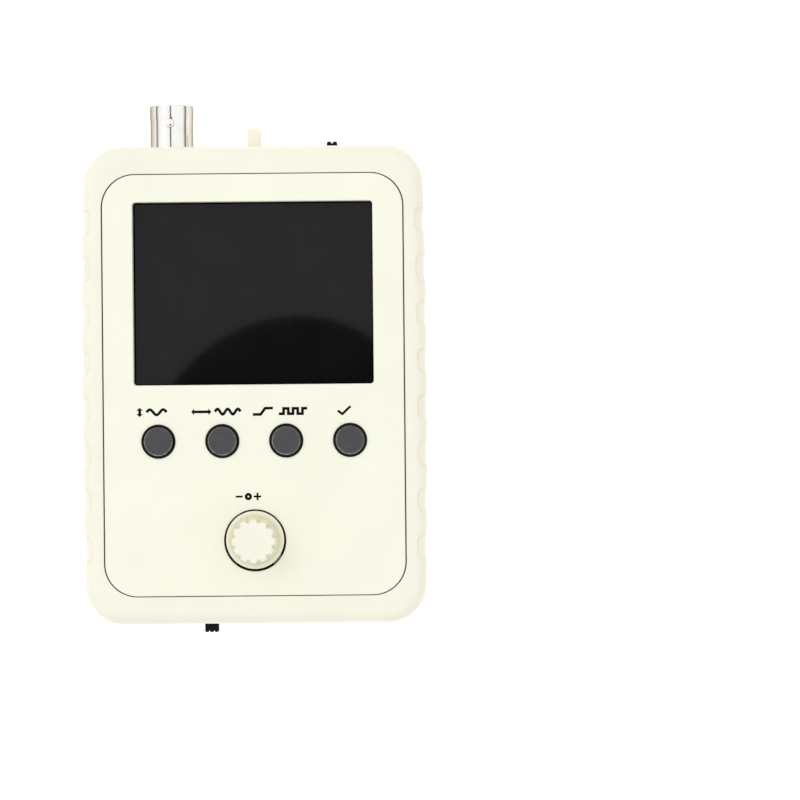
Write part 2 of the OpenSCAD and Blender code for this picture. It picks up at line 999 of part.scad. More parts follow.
module case_screws() {
    head_z = well_h - fit_gap - screw_head_h;
    color("silver")
        at_case_screws()
            translate([0, 0, head_z])
                screw(screw_head_r, screw_head_h, screw_r, screw_end - well_h);
}

module main_board_screws() {
    color("silver")
        at_main_screws()
            translate([0, 0, main_z - fit_gap - board_head_h])
                screw(board_head_r, board_head_h, board_screw_r, board_t + 1.6);
}

module analog_board_screws() {
    color("silver")
        at_analog_screws()
            translate([0, 0, analog_top + fit_gap + board_head_h])
                mirror([0, 0, 1])
                    screw(board_head_r, board_head_h, board_screw_r, board_t + 1.6);
}

// ---- Every node ----

rear_shell();
front_shell();
front_panel();
panel_tape();
lcd_gasket();
lcd_glass();
lcd_backlight();
lcd_flex();
main_board();
main_board_chips();
analog_board();
analog_board_chips();
header_pins();
header_socket();
shield_can();
capacitors();
trimmers();
jack_block();
jack_shell();
jack_insulator();
jack_contact();
coupling_can();
coupling_contact();
coupling_lever();
power_can();
power_contact();
power_lever();
inlet_body();
inlet_pin();
terminal_base();
terminal_loop();
encoder_board();
encoder_link();
encoder_base();
encoder_bush();
encoder_rotor();
encoder_spindle();
knob();
tact_domes();
case_screws();
main_board_screws();
analog_board_screws();
for (i = [1 : 4]) {
    tact_switch(i);
    button_plunger(i);
    button_cap(i);
}
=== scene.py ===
import json
import math

import bmesh
import bpy
from mathutils import Matrix, Vector


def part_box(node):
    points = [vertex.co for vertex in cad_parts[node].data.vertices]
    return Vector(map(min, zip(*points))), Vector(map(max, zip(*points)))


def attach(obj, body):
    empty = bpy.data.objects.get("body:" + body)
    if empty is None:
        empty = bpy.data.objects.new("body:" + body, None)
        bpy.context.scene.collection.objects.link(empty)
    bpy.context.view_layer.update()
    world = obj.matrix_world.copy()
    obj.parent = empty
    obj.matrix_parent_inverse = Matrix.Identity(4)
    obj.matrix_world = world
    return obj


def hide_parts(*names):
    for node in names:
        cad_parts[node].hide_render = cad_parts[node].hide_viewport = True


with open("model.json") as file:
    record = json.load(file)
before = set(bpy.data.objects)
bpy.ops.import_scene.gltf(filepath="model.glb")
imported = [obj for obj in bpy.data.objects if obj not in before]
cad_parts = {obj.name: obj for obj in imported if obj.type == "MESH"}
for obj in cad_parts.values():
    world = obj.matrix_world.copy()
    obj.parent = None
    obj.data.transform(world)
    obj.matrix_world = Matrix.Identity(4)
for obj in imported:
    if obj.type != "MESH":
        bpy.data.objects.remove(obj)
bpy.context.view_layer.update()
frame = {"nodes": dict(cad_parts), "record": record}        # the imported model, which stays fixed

MM = 0.001
BODY = "case"


def node_box(node):
    """Lowest and highest corner of a CAD node, in millimetres."""
    low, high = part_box(node)
    return low / MM, high / MM


# ---------------------------------------------------------------- sizes, in millimetres

FRONT_LOW, CASE_HIGH = node_box("front_shell")
PANEL_LOW, PANEL_HIGH = node_box("front_panel")
GLASS_LOW, GLASS_HIGH = node_box("lcd_glass")

HALF_L = CASE_HIGH.y
HALF_W = CASE_HIGH.x
TOP = CASE_HIGH.z
PARTING = FRONT_LOW.z
BOW = 0.5
CORNER_R = 8.5
EDGE_R = 3.0
SHOULDER = TOP - EDGE_R
WALL = 1.8
LIP_T = 0.85
LIP_H = 1.15
CORNER_X = HALF_W - BOW - CORNER_R
CORNER_Y = HALF_L - CORNER_R
SIDE_R = (CORNER_Y ** 2 + BOW ** 2) / (2 * BOW) + CORNER_R
SIDE_X = HALF_W - SIDE_R
SEAM_EDGE = 0.18

GRIP_PITCH = 10.25
GRIP_HALF_L = 2.75
GRIP_DEPTH = 0.3
GRIP_REACH = 2.1
GRIP_ROUND = 1.7
GRIP_BLEND = 0.16
GRIPS_PER_HALF = 4

PANEL_R = 7.2
PANEL_GAP = 0.15
PANEL_EDGE = 0.15
PANEL_TRIM = 0.09
REAR_BEVEL = 0.15
PANEL_CY = (PANEL_LOW.y + PANEL_HIGH.y) / 2
PANEL_X = PANEL_HIGH.x - PANEL_R
PANEL_Y = (PANEL_HIGH.y - PANEL_LOW.y) / 2 - PANEL_R
LEDGE_W = 1.5
LEDGE_Z = PANEL_LOW.z - 0.2
RIM_Z = LEDGE_Z - 1.4

WINDOW_W = 52.6
WINDOW_L = 40.1
WINDOW_R = 0.7
WINDOW_EDGE = 0.25
WINDOW_Y = (GLASS_LOW.y + GLASS_HIGH.y) / 2
BUTTON_HOLE_R = 3.74
BUTTON_HOLE_EDGE = 0.08
KNOB_HOLE_R = 6.8
KNOB_HOLE_EDGE = 0.06
KNOB_HOLE_DROP = 0.12
FIT = 0.05
AXIS_R = 0.05
PIN_AXIS_R = 0.03


# ---------------------------------------------------------------- shapes

class Shape:
    """Vertices and faces in millimetres, built up from lofts."""

    def __init__(self):
        self.verts = []
        self.faces = []

    def loft(self, rings, loop=False):
        """Joins rings of equal length with quads. A loop joins the last to the first, or both
        ends are capped."""
        count = len(rings[0])
        start = len(self.verts)
        for ring in rings:
            self.verts.extend(ring)
        last = len(rings) if loop else len(rings) - 1
        for i in range(last):
            a = start + i * count
            b = start + (i + 1) % len(rings) * count
            for k in range(count):
                n = (k + 1) % count
                self.faces.append((a + k, a + n, b + n, b + k))
        if not loop:
            end = start + (len(rings) - 1) * count
            self.faces.append(tuple(range(start + count - 1, start - 1, -1)))
            self.faces.append(tuple(range(end, end + count)))
        return self

    def copies(self, moves):
        """The shape repeated at each move."""
        made = Shape()
        for move in moves:
            start = len(made.verts)
            made.verts.extend(v + Vector(move) for v in self.verts)
            made.faces.extend(tuple(start + i for i in face) for face in self.faces)
        return made

    def join(self, other):
        start = len(self.verts)
        self.verts.extend(other.verts)
        self.faces.extend(tuple(start + i for i in face) for face in other.faces)
        return self


def fillet_path(points, closed=True, steps=6):
    """Outline through (x, y, radius) points, with each corner rounded to its radius."""
    path = []
    count = len(points)
    for i, (x, y, radius) in enumerate(points):
        corner = Vector((x, y))
        if radius <= 0 or (not closed and i in (0, count - 1)):
            path.append(corner)
            continue
        back = (Vector(points[i - 1][:2]) - corner).normalized()
        ahead = (Vector(points[(i + 1) % count][:2]) - corner).normalized()
        half = back.angle(ahead) / 2
        centre = corner + (back + ahead).normalized() * (radius / math.sin(half))
        start = corner + back * (radius / math.tan(half)) - centre
        end = corner + ahead * (radius / math.tan(half)) - centre
        turn = math.atan2(start.x * end.y - start.y * end.x, start.dot(end))
        for k in range(steps + 1):
            path.append(centre + Matrix.Rotation(turn * k / steps, 2) @ start)
    return path


def round_rect(w, l, r, steps=6):
    """Outline of a rectangle with round corners, centred."""
    r = max(r, 0.01)
    corners = [(w / 2, -l / 2), (w / 2, l / 2), (-w / 2, l / 2), (-w / 2, -l / 2)]
    return fillet_path([(x, y, r) for x, y in corners], steps=steps)


def circle(r, count=64):
    return [Vector((r * math.cos(t), r * math.sin(t)))
            for t in (2 * math.pi * k / count for k in range(count))]


def along_z(outline, z, at=(0, 0)):
    return [Vector((p.x + at[0], p.y + at[1], z)) for p in outline]


def along_y(outline, y, at=(0, 0)):
    """Places an outline across the Y axis: its x stays x and its y becomes z."""
    return [Vector((p.x + at[0], y, p.y + at[1])) for p in outline]


def revolve_z(profile, at, count):
    """Turns (radius, z) points round an upright axis at (x, y)."""
    return Shape().loft([along_z(circle(p[0], count), p[1], at) for p in profile])


def revolve_y(profile, at, count, loop=False):
    """Turns (radius, y) points round an axis along Y at (x, z)."""
    return Shape().loft([along_y(circle(p[0], count), p[1], at) for p in profile], loop=loop)


def quarter_turn(steps):
    """(sine, cosine) at even steps through a quarter turn."""
    return [(math.sin(a), math.cos(a)) for a in (math.pi / 2 * k / steps for k in range(steps + 1))]


def flared(outline, place, inner, surface, edge, steps=4):
    """Cutter for a hole with a rounded rim, from inner to just past the surface.

    outline(grow) gives the hole's section, and place(section, level) puts it at a level.
    """
    way = 1 if surface > inner else -1
    rings = [place(outline(0), inner)]
    for sine, cosine in quarter_turn(steps):
        rings.append(place(outline(edge * (1 - cosine)), surface - way * edge * (1 - sine)))
    rings.append(place(outline(edge), surface + way))
    return Shape().loft(rings)


def smoothstep(low, high, value):
    t = min(max((value - low) / (high - low), 0.0), 1.0)
    return t * t * (3 - 2 * t)


def spread(low, high, count):
    """Evenly spaced values from low to high, both included."""
    return [low + (high - low) * k / (count - 1) for k in range(count)]


# ---------------------------------------------------------------- objects

def mesh_object(name, shape):
    mesh = bpy.data.meshes.new(name)
    mesh.from_pydata([v * MM for v in shape.verts], [], shape.faces)
    work = bmesh.new()
    work.from_mesh(mesh)
    bmesh.ops.recalc_face_normals(work, faces=work.faces)
    work.to_mesh(mesh)
    work.free()
    obj = bpy.data.objects.new(name, mesh)
    bpy.context.scene.collection.objects.link(obj)
    return obj


def bake_modifiers(obj):
    """Replaces the mesh with what its modifiers make of it."""
    graph = bpy.context.evaluated_depsgraph_get()
    made = bpy.data.meshes.new_from_object(obj.evaluated_get(graph))
    obj.modifiers.clear()
    old = obj.data
    obj.data = made
    bpy.data.meshes.remove(old)


def combine(obj, shape, operation):
    """Adds a shape to an object, or cuts it away."""
    tool = mesh_object("tool", shape)
    change = obj.modifiers.new("change", "BOOLEAN")
    change.operation = operation
    change.solver = "MANIFOLD"
    change.object = tool
    bake_modifiers(obj)
    data = tool.data
    bpy.data.objects.remove(tool)
    bpy.data.meshes.remove(data)
    return obj


def soften(obj, width, segments=2, angle=35):
    """Rounds every edge that is sharper than an angle."""
    bevel = obj.modifiers.new("soften", "BEVEL")
    bevel.width = width * MM
    bevel.segments = segments
    bevel.limit_method = "ANGLE"
    bevel.angle_limit = math.radians(angle)
    bake_modifiers(obj)
    return obj


def shade(obj, sharp=40):
    """Smooth shading with crisp edges, and flat faces that stay flat."""
    obj.data.shade_smooth()
    obj.data.set_sharp_from_angle(angle=math.radians(sharp))
    weigh = obj.modifiers.new("normals", "WEIGHTED_NORMAL")
    weigh.keep_sharp = True
    weigh.weight = 80
    return obj


def piece(obj, body, slot, replaces=()):
    """Finishes a visible piece: its shading, its slot's material and its body, and hides the CAD
    nodes it stands for.
    """
    shade(obj)
    obj.data.materials.clear()
    obj.data.materials.append(MATERIALS[slot])
    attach(obj, body)
    if replaces:
        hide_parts(*replaces)
    return obj


# ---------------------------------------------------------------- materials

PAINTED_LIGHT_ATTRIBUTE = "painted_light_mark"


def mark_painted_light(obj, share):
    """Writes how much painted light or shade each vertex takes, from 0 to 1. share takes the
    vertex's place in mm.
    """
    marks = obj.data.attributes.new(PAINTED_LIGHT_ATTRIBUTE, "FLOAT", "POINT")
    for vertex, mark in zip(obj.data.vertices, marks.data):
        mark.value = share(*(vertex.co / MM))


def add_node(tree, kind, **inputs):
    node = tree.nodes.new(kind)
    for name, value in inputs.items():
        node.inputs[name.replace("_", " ")].default_value = value
    return node


def start_material(name):
    material = bpy.data.materials.new(name)
    material.use_nodes = True
    tree = material.node_tree
    return material, tree, tree.nodes["Principled BSDF"]


def noise(tree, size_mm, detail=3.0, stretch=(1, 1, 1)):
    """Noise whose features are about size_mm across, in the piece's own space."""
    place = tree.nodes.new("ShaderNodeTexCoord")
    scale = tree.nodes.new("ShaderNodeMapping")
    scale.inputs["Scale"].default_value = stretch
    made = add_node(tree, "ShaderNodeTexNoise", Scale=1 / (size_mm * MM), Detail=detail)
    tree.links.new(place.outputs["Object"], scale.inputs["Vector"])
    tree.links.new(scale.outputs["Vector"], made.inputs["Vector"])
    return made.outputs["Fac"]


def remap(tree, value, low, high, from_low=0.3, from_high=0.7):
    made = tree.nodes.new("ShaderNodeMapRange")
    tree.links.new(value, made.inputs["Value"])
    for name, number in (("From Min", from_low), ("From Max", from_high),
                         ("To Min", low), ("To Max", high)):
        made.inputs[name].default_value = number
    return made.outputs["Result"]


def mix_colour(tree, share, first, second):
    made = tree.nodes.new("ShaderNodeMix")
    made.data_type = "RGBA"
    for slot, value in (("Factor", share), ("A", first), ("B", second)):
        socket = next(s for s in made.inputs
                      if s.name == slot and s.type == ("VALUE" if slot == "Factor" else "RGBA"))
        if hasattr(value, "is_linked"):
            tree.links.new(value, socket)
        else:
            socket.default_value = value
    return next(s for s in made.outputs if s.type == "RGBA")


def bump(tree, shader, layers):
    """Stacks bumps: each layer is (height, depth in mm, strength)."""
    normal = None
    for height, depth, strength in layers:
        made = add_node(tree, "ShaderNodeBump", Strength=strength, Distance=depth * MM)
        tree.links.new(height, made.inputs["Height"])
        if normal is not None:
            tree.links.new(normal, made.inputs["Normal"])
        normal = made.outputs["Normal"]
    tree.links.new(normal, shader.inputs["Normal"])


def rgba(colour, share=1.0):
    return (colour[0] * share, colour[1] * share, colour[2] * share, 1.0)


def painted_light_tone(tree, tone, painted_tone, patch):
    """Turns a tone into another where the mesh is marked for painted light or shade, in uneven
    patches.
    """
    painted_light_mark = tree.nodes.new("ShaderNodeAttribute")
    painted_light_mark.attribute_name = PAINTED_LIGHT_ATTRIBUTE
    share = tree.nodes.new("ShaderNodeMath")
    share.operation = "MULTIPLY"
    tree.links.new(painted_light_mark.outputs["Fac"], share.inputs[0])
    tree.links.new(patch, share.inputs[1])
    return mix_colour(tree, share.outputs["Value"], tone, rgba(painted_tone))


def plastic(name, colour, rough, grain=0.25, depth=0.012, mottle=0.03, painted_crevice_shade=0.0, soft=0.0,
            sheen=0.5, patch=14.0, painted_tone=None, gaps=0.75):
    """Moulded plastic: fine grain, slow changes of tone, uneven patches of painted light or shade
    where the mesh is marked, and painted shade in crevices.
    """
    material, tree, shader = start_material(name)
    fine = noise(tree, grain, 4.0)
    slow = noise(tree, patch, 2.0)
    tone = mix_colour(tree, remap(tree, slow, 0.0, 1.0), rgba(colour, 1 - mottle), rgba(colour))
    # Painted light or shade where the mesh is marked: a highlight on the button rims, shade on the
    # knob's flank.
    if painted_tone:
        broken = remap(tree, noise(tree, 0.5, 2.0), 1 - gaps, 1.0, 0.38, 0.62)
        tone = painted_light_tone(tree, tone, painted_tone, broken)
    # Painted shade: ambient occlusion darkens crevices, seams and hole walls to a yellower tone,
    # and deep gaps to near black.
    if painted_crevice_shade:
        hidden = add_node(tree, "ShaderNodeAmbientOcclusion", Distance=1.2 * MM)
        hidden.samples = 6
        open_share = hidden.outputs["AO"]
        painted_shade_tone = rgba([c * d for c, d in zip(colour, (0.44, 0.41, 0.17))])
        tone = mix_colour(tree, remap(tree, open_share, painted_crevice_shade, 0.0, 0.35, 0.95), tone, painted_shade_tone)
        painted_deep_shade = rgba([c * 0.05 for c in colour])
        tone = mix_colour(tree, remap(tree, open_share, 1.0, 0.0, 0.1, 0.4), tone, painted_deep_shade)
    tree.links.new(tone, shader.inputs["Base Color"])
    tree.links.new(remap(tree, fine, rough - 0.06, rough + 0.06), shader.inputs["Roughness"])
    shader.inputs["IOR"].default_value = 1.5
    shader.inputs["Specular IOR Level"].default_value = sheen
    if soft:
        shader.inputs["Subsurface Weight"].default_value = soft
        shader.inputs["Subsurface Radius"].default_value = (1.0, 0.8, 0.5)
        shader.inputs["Subsurface Scale"].default_value = 0.8 * MM
    bump(tree, shader, [(slow, 0.02, 0.15), (fine, depth, 0.35)])
    return material


def metal(name, colour, rough, streak=(1, 1, 1), grain=0.3, depth=0.003, tarnish=0.08, edge=1.0,
          painted_tone=None):
    """Plated or bare metal: fine streaks, a little tarnish, and darker where seen edge-on."""
    material, tree, shader = start_material(name)
    fine = noise(tree, grain, 5.0, streak)
    slow = noise(tree, 4.0, 3.0)
    tone = mix_colour(tree, remap(tree, slow, 0.0, 1.0), rgba(colour, 1 - tarnish), rgba(colour))
    # Painted darker reflection and shade where the mesh is marked, on the jack barrel's lower
    # sides.
    if painted_tone:
        tone = painted_light_tone(tree, tone, painted_tone, remap(tree, fine, 0.8, 1.0))
    tree.links.new(tone, shader.inputs["Base Color"])
    tree.links.new(remap(tree, fine, max(rough - 0.04, 0.02), rough + 0.06),
                   shader.inputs["Roughness"])
    shader.inputs["Metallic"].default_value = 1.0
    shader.inputs["Specular Tint"].default_value = (edge, edge * 0.85, edge * 0.65, 1)
    bump(tree, shader, [(fine, depth, 0.25)])
    return material


def display_material(name):
    """Dark display under glossy glass, with a faint sheen and a trace of dust."""
    material, tree, shader = start_material(name)
    slow = noise(tree, 9.0, 2.0)
    dust = noise(tree, 0.35, 2.0)
    tone = mix_colour(tree, remap(tree, slow, 0.0, 1.0), (0.0046, 0.0046, 0.0050, 1),
                      (0.0060, 0.0060, 0.0064, 1))
    specks = remap(tree, dust, 0.0, 0.10, 0.70, 0.80)
    tone = mix_colour(tree, specks, tone, (0.16, 0.16, 0.15, 1))
    tree.links.new(tone, shader.inputs["Base Color"])
    tree.links.new(remap(tree, dust, 0.03, 0.05), shader.inputs["Roughness"])
    shader.inputs["IOR"].default_value = 1.46
    shader.inputs["Specular IOR Level"].default_value = 0.25
    bump(tree, shader, [(slow, 0.004, 0.1)])
    return material


def board_material(name):
    """Green solder mask with copper tracks that show through as paler lines."""
    material, tree, shader = start_material(name)
    place = tree.nodes.new("ShaderNodeTexCoord")
    tracks = add_node(tree, "ShaderNodeTexBrick", Scale=1 / (6 * MM), Mortar_Size=0.06)
    tree.links.new(place.outputs["Object"], tracks.inputs["Vector"])
    vias = add_node(tree, "ShaderNodeTexVoronoi", Scale=1 / (4 * MM))
    tree.links.new(place.outputs["Object"], vias.inputs["Vector"])
    tone = mix_colour(tree, tracks.outputs["Fac"], (0.012, 0.10, 0.035, 1), (0.03, 0.2, 0.07, 1))
    ring = remap(tree, vias.outputs["Distance"], 1.0, 0.0, 0.06, 0.10)
    tone = mix_colour(tree, ring, tone, (0.75, 0.55, 0.2, 1))
    tree.links.new(tone, shader.inputs["Base Color"])
    fine = noise(tree, 0.2, 3.0)
    tree.links.new(remap(tree, fine, 0.25, 0.4), shader.inputs["Roughness"])
    bump(tree, shader, [(tracks.outputs["Fac"], 0.03, 0.4), (fine, 0.004, 0.3)])
    return material


CREAM = (0.925, 0.905, 0.775)
PANEL_CREAM = (0.935, 0.935, 0.795)
BLACK = (0.006, 0.006, 0.0065)

# The crevice setting is the strength of the painted shade in crevices, seams and hole walls.
MATERIALS = {
    # The darker marked tone of case_plastic is painted shade on the knob's flank; its crevice
    # darkening is painted shade.
    "case_plastic": plastic("case_plastic", CREAM, 0.42, painted_crevice_shade=0.7, soft=0.12,
                            painted_tone=(0.885, 0.855, 0.60), gaps=0.3),
    "panel_plastic": plastic("panel_plastic", PANEL_CREAM, 0.38, grain=0.2, depth=0.008,
                             painted_crevice_shade=0.7, soft=0.12),
    "tape": plastic("tape", (0.75, 0.75, 0.72), 0.6),
    "foam": plastic("foam", (0.003, 0.003, 0.003), 0.9, grain=0.4, depth=0.08, sheen=0.0),
    "display": display_material("display"),
    "white_plastic": plastic("white_plastic", (0.8, 0.8, 0.8), 0.5),
    "flex": plastic("flex", (0.55, 0.24, 0.03), 0.35, grain=0.6),
    "board": board_material("board"),
    "chip": plastic("chip", (0.02, 0.02, 0.02), 0.55, grain=0.12, depth=0.01),
    "gold": metal("gold", (0.83, 0.62, 0.28), 0.22),
    "black_plastic": plastic("black_plastic", BLACK, 0.5, grain=0.2, mottle=0.15, sheen=0.1),
    "tin": metal("tin", (0.72, 0.72, 0.70), 0.3, streak=(1, 12, 1)),
    # The darker marked tone of nickel is a painted reflection and shade on the jack barrel's lower
    # sides.
    "nickel": metal("nickel", (0.95, 0.93, 0.89), 0.1, streak=(1, 10, 1), grain=0.25, edge=0.35,
                    painted_tone=(0.62, 0.58, 0.49)),
    "ptfe": plastic("ptfe", (0.86, 0.86, 0.84), 0.35, soft=0.3),
    "capacitor": metal("capacitor", (0.75, 0.75, 0.77), 0.35, streak=(1, 1, 10)),
    "trimmer": plastic("trimmer", (0.6, 0.36, 0.1), 0.4),
    "steel": metal("steel", (0.6, 0.6, 0.6), 0.25),
    "switch_plastic": plastic("switch_plastic", (0.02, 0.02, 0.02), 0.5),
    # The paler marked tone of button_plastic is a painted highlight on the cap rims; its crevice
    # darkening is painted shade.
    "button_plastic": plastic("button_plastic", (0.052, 0.051, 0.057), 0.4, grain=0.15,
                              mottle=0.16, painted_crevice_shade=0.3, patch=1.6, painted_tone=(0.32, 0.31, 0.29)),
}


# ---------------------------------------------------------------- the case's outline

class Station:
    """A place on the case's outline, with its outward normal and its partner on the panel's."""

    def __init__(self, zone, share, point, normal):
        self.zone, self.share, self.point, self.normal = zone, share, point, normal
        self.signs = (1, 1)

    def mirrored(self, x, y):
        made = Station(self.zone, self.share, Vector((self.point.x * x, self.point.y * y)),
                       Vector((self.normal.x * x, self.normal.y * y)))
        made.signs = (x, y)
        return made

    def on_panel(self, grow):
        """The matching point on the panel's outline, grown or shrunk all round."""
        r = PANEL_R + grow
        if self.zone == "side":
            p = Vector((PANEL_X + r, PANEL_Y * self.share))
        elif self.zone == "corner":
            a = math.pi / 2 * self.share
            p = Vector((PANEL_X + r * math.cos(a), PANEL_Y + r * math.sin(a)))
        else:
            p = Vector((PANEL_X * self.share, PANEL_Y + r))
        return Vector((p.x * self.signs[0], p.y * self.signs[1] + PANEL_CY))


def side_levels():
    """Places along half of a side, closer together where a grip recess ends."""
    levels = {0.0, CORNER_Y}
    levels.update(spread(CORNER_Y - 3.6, CORNER_Y, 5))
    for i in range(GRIPS_PER_HALF):
        centre = (i + 0.5) * GRIP_PITCH
        inside = GRIP_HALF_L - 0.3
        offsets = spread(-inside, inside, 21)
        offsets += [s * (GRIP_HALF_L + d) for s in (-1, 1) for d in spread(-0.24, 0.24, 7)]
        offsets += [s * d for s in (-1, 1) for d in (3.3, 3.9, 4.6, 5.2)]
        levels.update(round(centre + o, 4) for o in offsets)
    return sorted(v for v in levels if 0 <= v <= CORNER_Y)


def quarter_stations(corner_steps=28, end_steps=18):
    stations = []
    for y in side_levels():
        a = math.asin(y / (SIDE_R - CORNER_R)) if y == CORNER_Y else math.asin(y / SIDE_R)
        normal = Vector((math.cos(a), math.sin(a)))
        point = Vector((SIDE_X, 0)) + normal * SIDE_R
        stations.append(Station("side", y / CORNER_Y, point, normal))
    first = math.atan2(CORNER_Y, CORNER_X - SIDE_X)
    for k in range(1, corner_steps + 1):
        a = first + (math.pi / 2 - first) * k / corner_steps
        normal = Vector((math.cos(a), math.sin(a)))
        stations.append(Station("corner", k / corner_steps,
                                Vector((CORNER_X, CORNER_Y)) + normal * CORNER_R, normal))
    for x in spread(CORNER_X, 0, end_steps)[1:]:
        stations.append(Station("end", x / CORNER_X, Vector((x, HALF_L)), Vector((0, 1))))
    return stations


def all_stations():
    """The whole outline, anticlockwise from the middle of the right-hand side."""
    first = quarter_stations()
    stations = [s.mirrored(1, 1) for s in first]
    stations += [s.mirrored(-1, 1) for s in reversed(first[:-1])]
    stations += [s.mirrored(-1, -1) for s in first[1:]]
    stations += [s.mirrored(1, -1) for s in reversed(first[1:-1])]
    return stations


STATIONS = all_stations()
GRIP_END = EDGE_R * math.acos(1 - GRIP_REACH / EDGE_R)


def grip_share(y, climb):
    """1 inside a grip recess and 0 outside. climb is the way up over the shoulder."""
    index = min(max(round(abs(y) / GRIP_PITCH - 0.5), 0), GRIPS_PER_HALF - 1)
    across = abs(abs(y) - (index + 0.5) * GRIP_PITCH) - (GRIP_HALF_L - GRIP_ROUND)
    up = climb - (GRIP_END - GRIP_ROUND)
    outside = math.hypot(max(across, 0), max(up, 0)) + min(max(across, up), 0) - GRIP_ROUND
    return smoothstep(GRIP_BLEND, -GRIP_BLEND, outside) if outside < GRIP_BLEND else 0.0


def case_ring(inset, z, climb=None, tilt=0.0, way=1):
    """Ring at an inset from the outline. With a climb, the grip recesses are pressed in."""
    ring = []
    for s in STATIONS:
        p = s.point - s.normal * inset
        level = z
        if climb is not None and s.zone == "side":
            depth = GRIP_DEPTH * grip_share(s.point.y, climb)
            p = p - s.normal * depth * math.cos(tilt)
            level -= way * depth * math.sin(tilt)
        ring.append(Vector((p.x, p.y, level)))
    return ring


def panel_ring(grow, z):
    """Ring on the front panel's outline, grown or shrunk all round."""
    return [Vector((*s.on_panel(grow), z)) for s in STATIONS]


def shoulder_angles():
    """Angles over a rounded edge, closer together where the grip recesses end."""
    end = math.degrees(GRIP_END / EDGE_R)
    coarse = [3 * k for k in range(1, 31)]
    fine = [end + 1.2 * k for k in range(-4, 5)]
    return [math.radians(a) for a in sorted(coarse + fine)]


def outer_rings(seam, rest_level, way):
    """Rings from the parting line over a rounded edge. way is 1 to the front, -1 to the rear."""
    shoulder = rest_level - way * EDGE_R
    rings = [case_ring(SEAM_EDGE, seam, -abs(shoulder - seam), way=way)]
    for z in spread(seam + way * SEAM_EDGE, shoulder, 9):
        rings.append(case_ring(0, z, -abs(shoulder - z), way=way))
    for a in shoulder_angles():
        rings.append(case_ring(EDGE_R * (1 - math.cos(a)), shoulder + way * EDGE_R * math.sin(a),
                               EDGE_R * a, a, way))
    return rings


# ---------------------------------------------------------------- openings in the end walls

def boxed(node):
    low, high = node_box(node)
    return low, high, (low + high) / 2


JACK_LOW, JACK_HIGH, JACK_MID = boxed("jack_shell")
_, COUPLING_HIGH, COUPLING_MID = boxed("coupling_lever")
POWER_LOW, _, POWER_MID = boxed("power_lever")
TERMINAL_LOW, TERMINAL_HIGH, TERMINAL_MID = boxed("terminal_loop")
INLET_LOW, INLET_HIGH, INLET_MID = boxed("inlet_pin")
AXIS_Z = PARTING
LEVER_W = 2.9
POWER_W = 3.0
LEVER_H = 3.0
LEVER_R = 0.3
CAN_GAP = 0.3
CAN_T = 0.6
FOOT_H = 3.4
SLOT_GAP = 0.35
SLOT_R = 0.6
LEVER_TRAVEL = 2.0
JACK_HOLE_R = 5.1
INLET_HOLE_R = 4.05
TERMINAL_SLOT = (3.0, 5.6)
RIM_EDGE = 0.3


def end_openings():
    """Cutters for everything that passes through the two end walls."""
    def slot(w, h, centre, surface):
        return flared(lambda g: round_rect(w + 2 * g, h + 2 * g, SLOT_R + g),
                      lambda o, y: along_y(o, y, (centre, AXIS_Z)),
                      surface - math.copysign(7, surface), surface, RIM_EDGE)

    def hole(r, x, z, surface):
        return flared(lambda g: circle(r + g, 72), lambda o, y: along_y(o, y, (x, z)),
                      surface - math.copysign(7, surface), surface, RIM_EDGE)

    lever_slot_h = LEVER_H + 2 * SLOT_GAP
    shape = hole(JACK_HOLE_R - RIM_EDGE, JACK_MID.x, AXIS_Z, HALF_L)
    shape.join(slot(LEVER_W + 2 * (LEVER_TRAVEL + SLOT_GAP), lever_slot_h, COUPLING_MID.x, HALF_L))
    shape.join(slot(*TERMINAL_SLOT, TERMINAL_MID.x, HALF_L))
    shape.join(slot(POWER_W + LEVER_TRAVEL + 2 * SLOT_GAP, lever_slot_h,
                    POWER_MID.x + LEVER_TRAVEL / 2, -HALF_L))
    shape.join(hole(INLET_HOLE_R - RIM_EDGE, INLET_MID.x, INLET_MID.z, -HALF_L))
    return shape


# ---------------------------------------------------------------- shells

BOSS_X = 30.6
BOSS_Y = 45.6
BOSS_R = 3.2
BOSSES = [(x * BOSS_X, y * BOSS_Y, 0) for x in (-1, 1) for y in (-1, 1)]
PILOT_R = 1.05
PILOT_TOP = 17.4
SHANK_R = 1.2
WELL_R = 2.3
WELL_H = 3.0
WELL_EDGE = 0.3
POST_R = 2.0
ANALOG_POST_R = 2.5
MAIN_POSTS = [(x * 32.3, y, 0) for x in (-1, 1) for y in (-38.5, 38.0)]
MAIN_TOP = node_box("main_board")[1].z
ANALOG_LOW = node_box("analog_board")[0].z
ANALOG_POSTS = [(x * 31.0, y * 36.0, 0) for x in (-1, 1) for y in (-1, 1)]


def column(r, low, high, count=40):
    return revolve_z([(r, low), (r, high)], (0, 0), count)


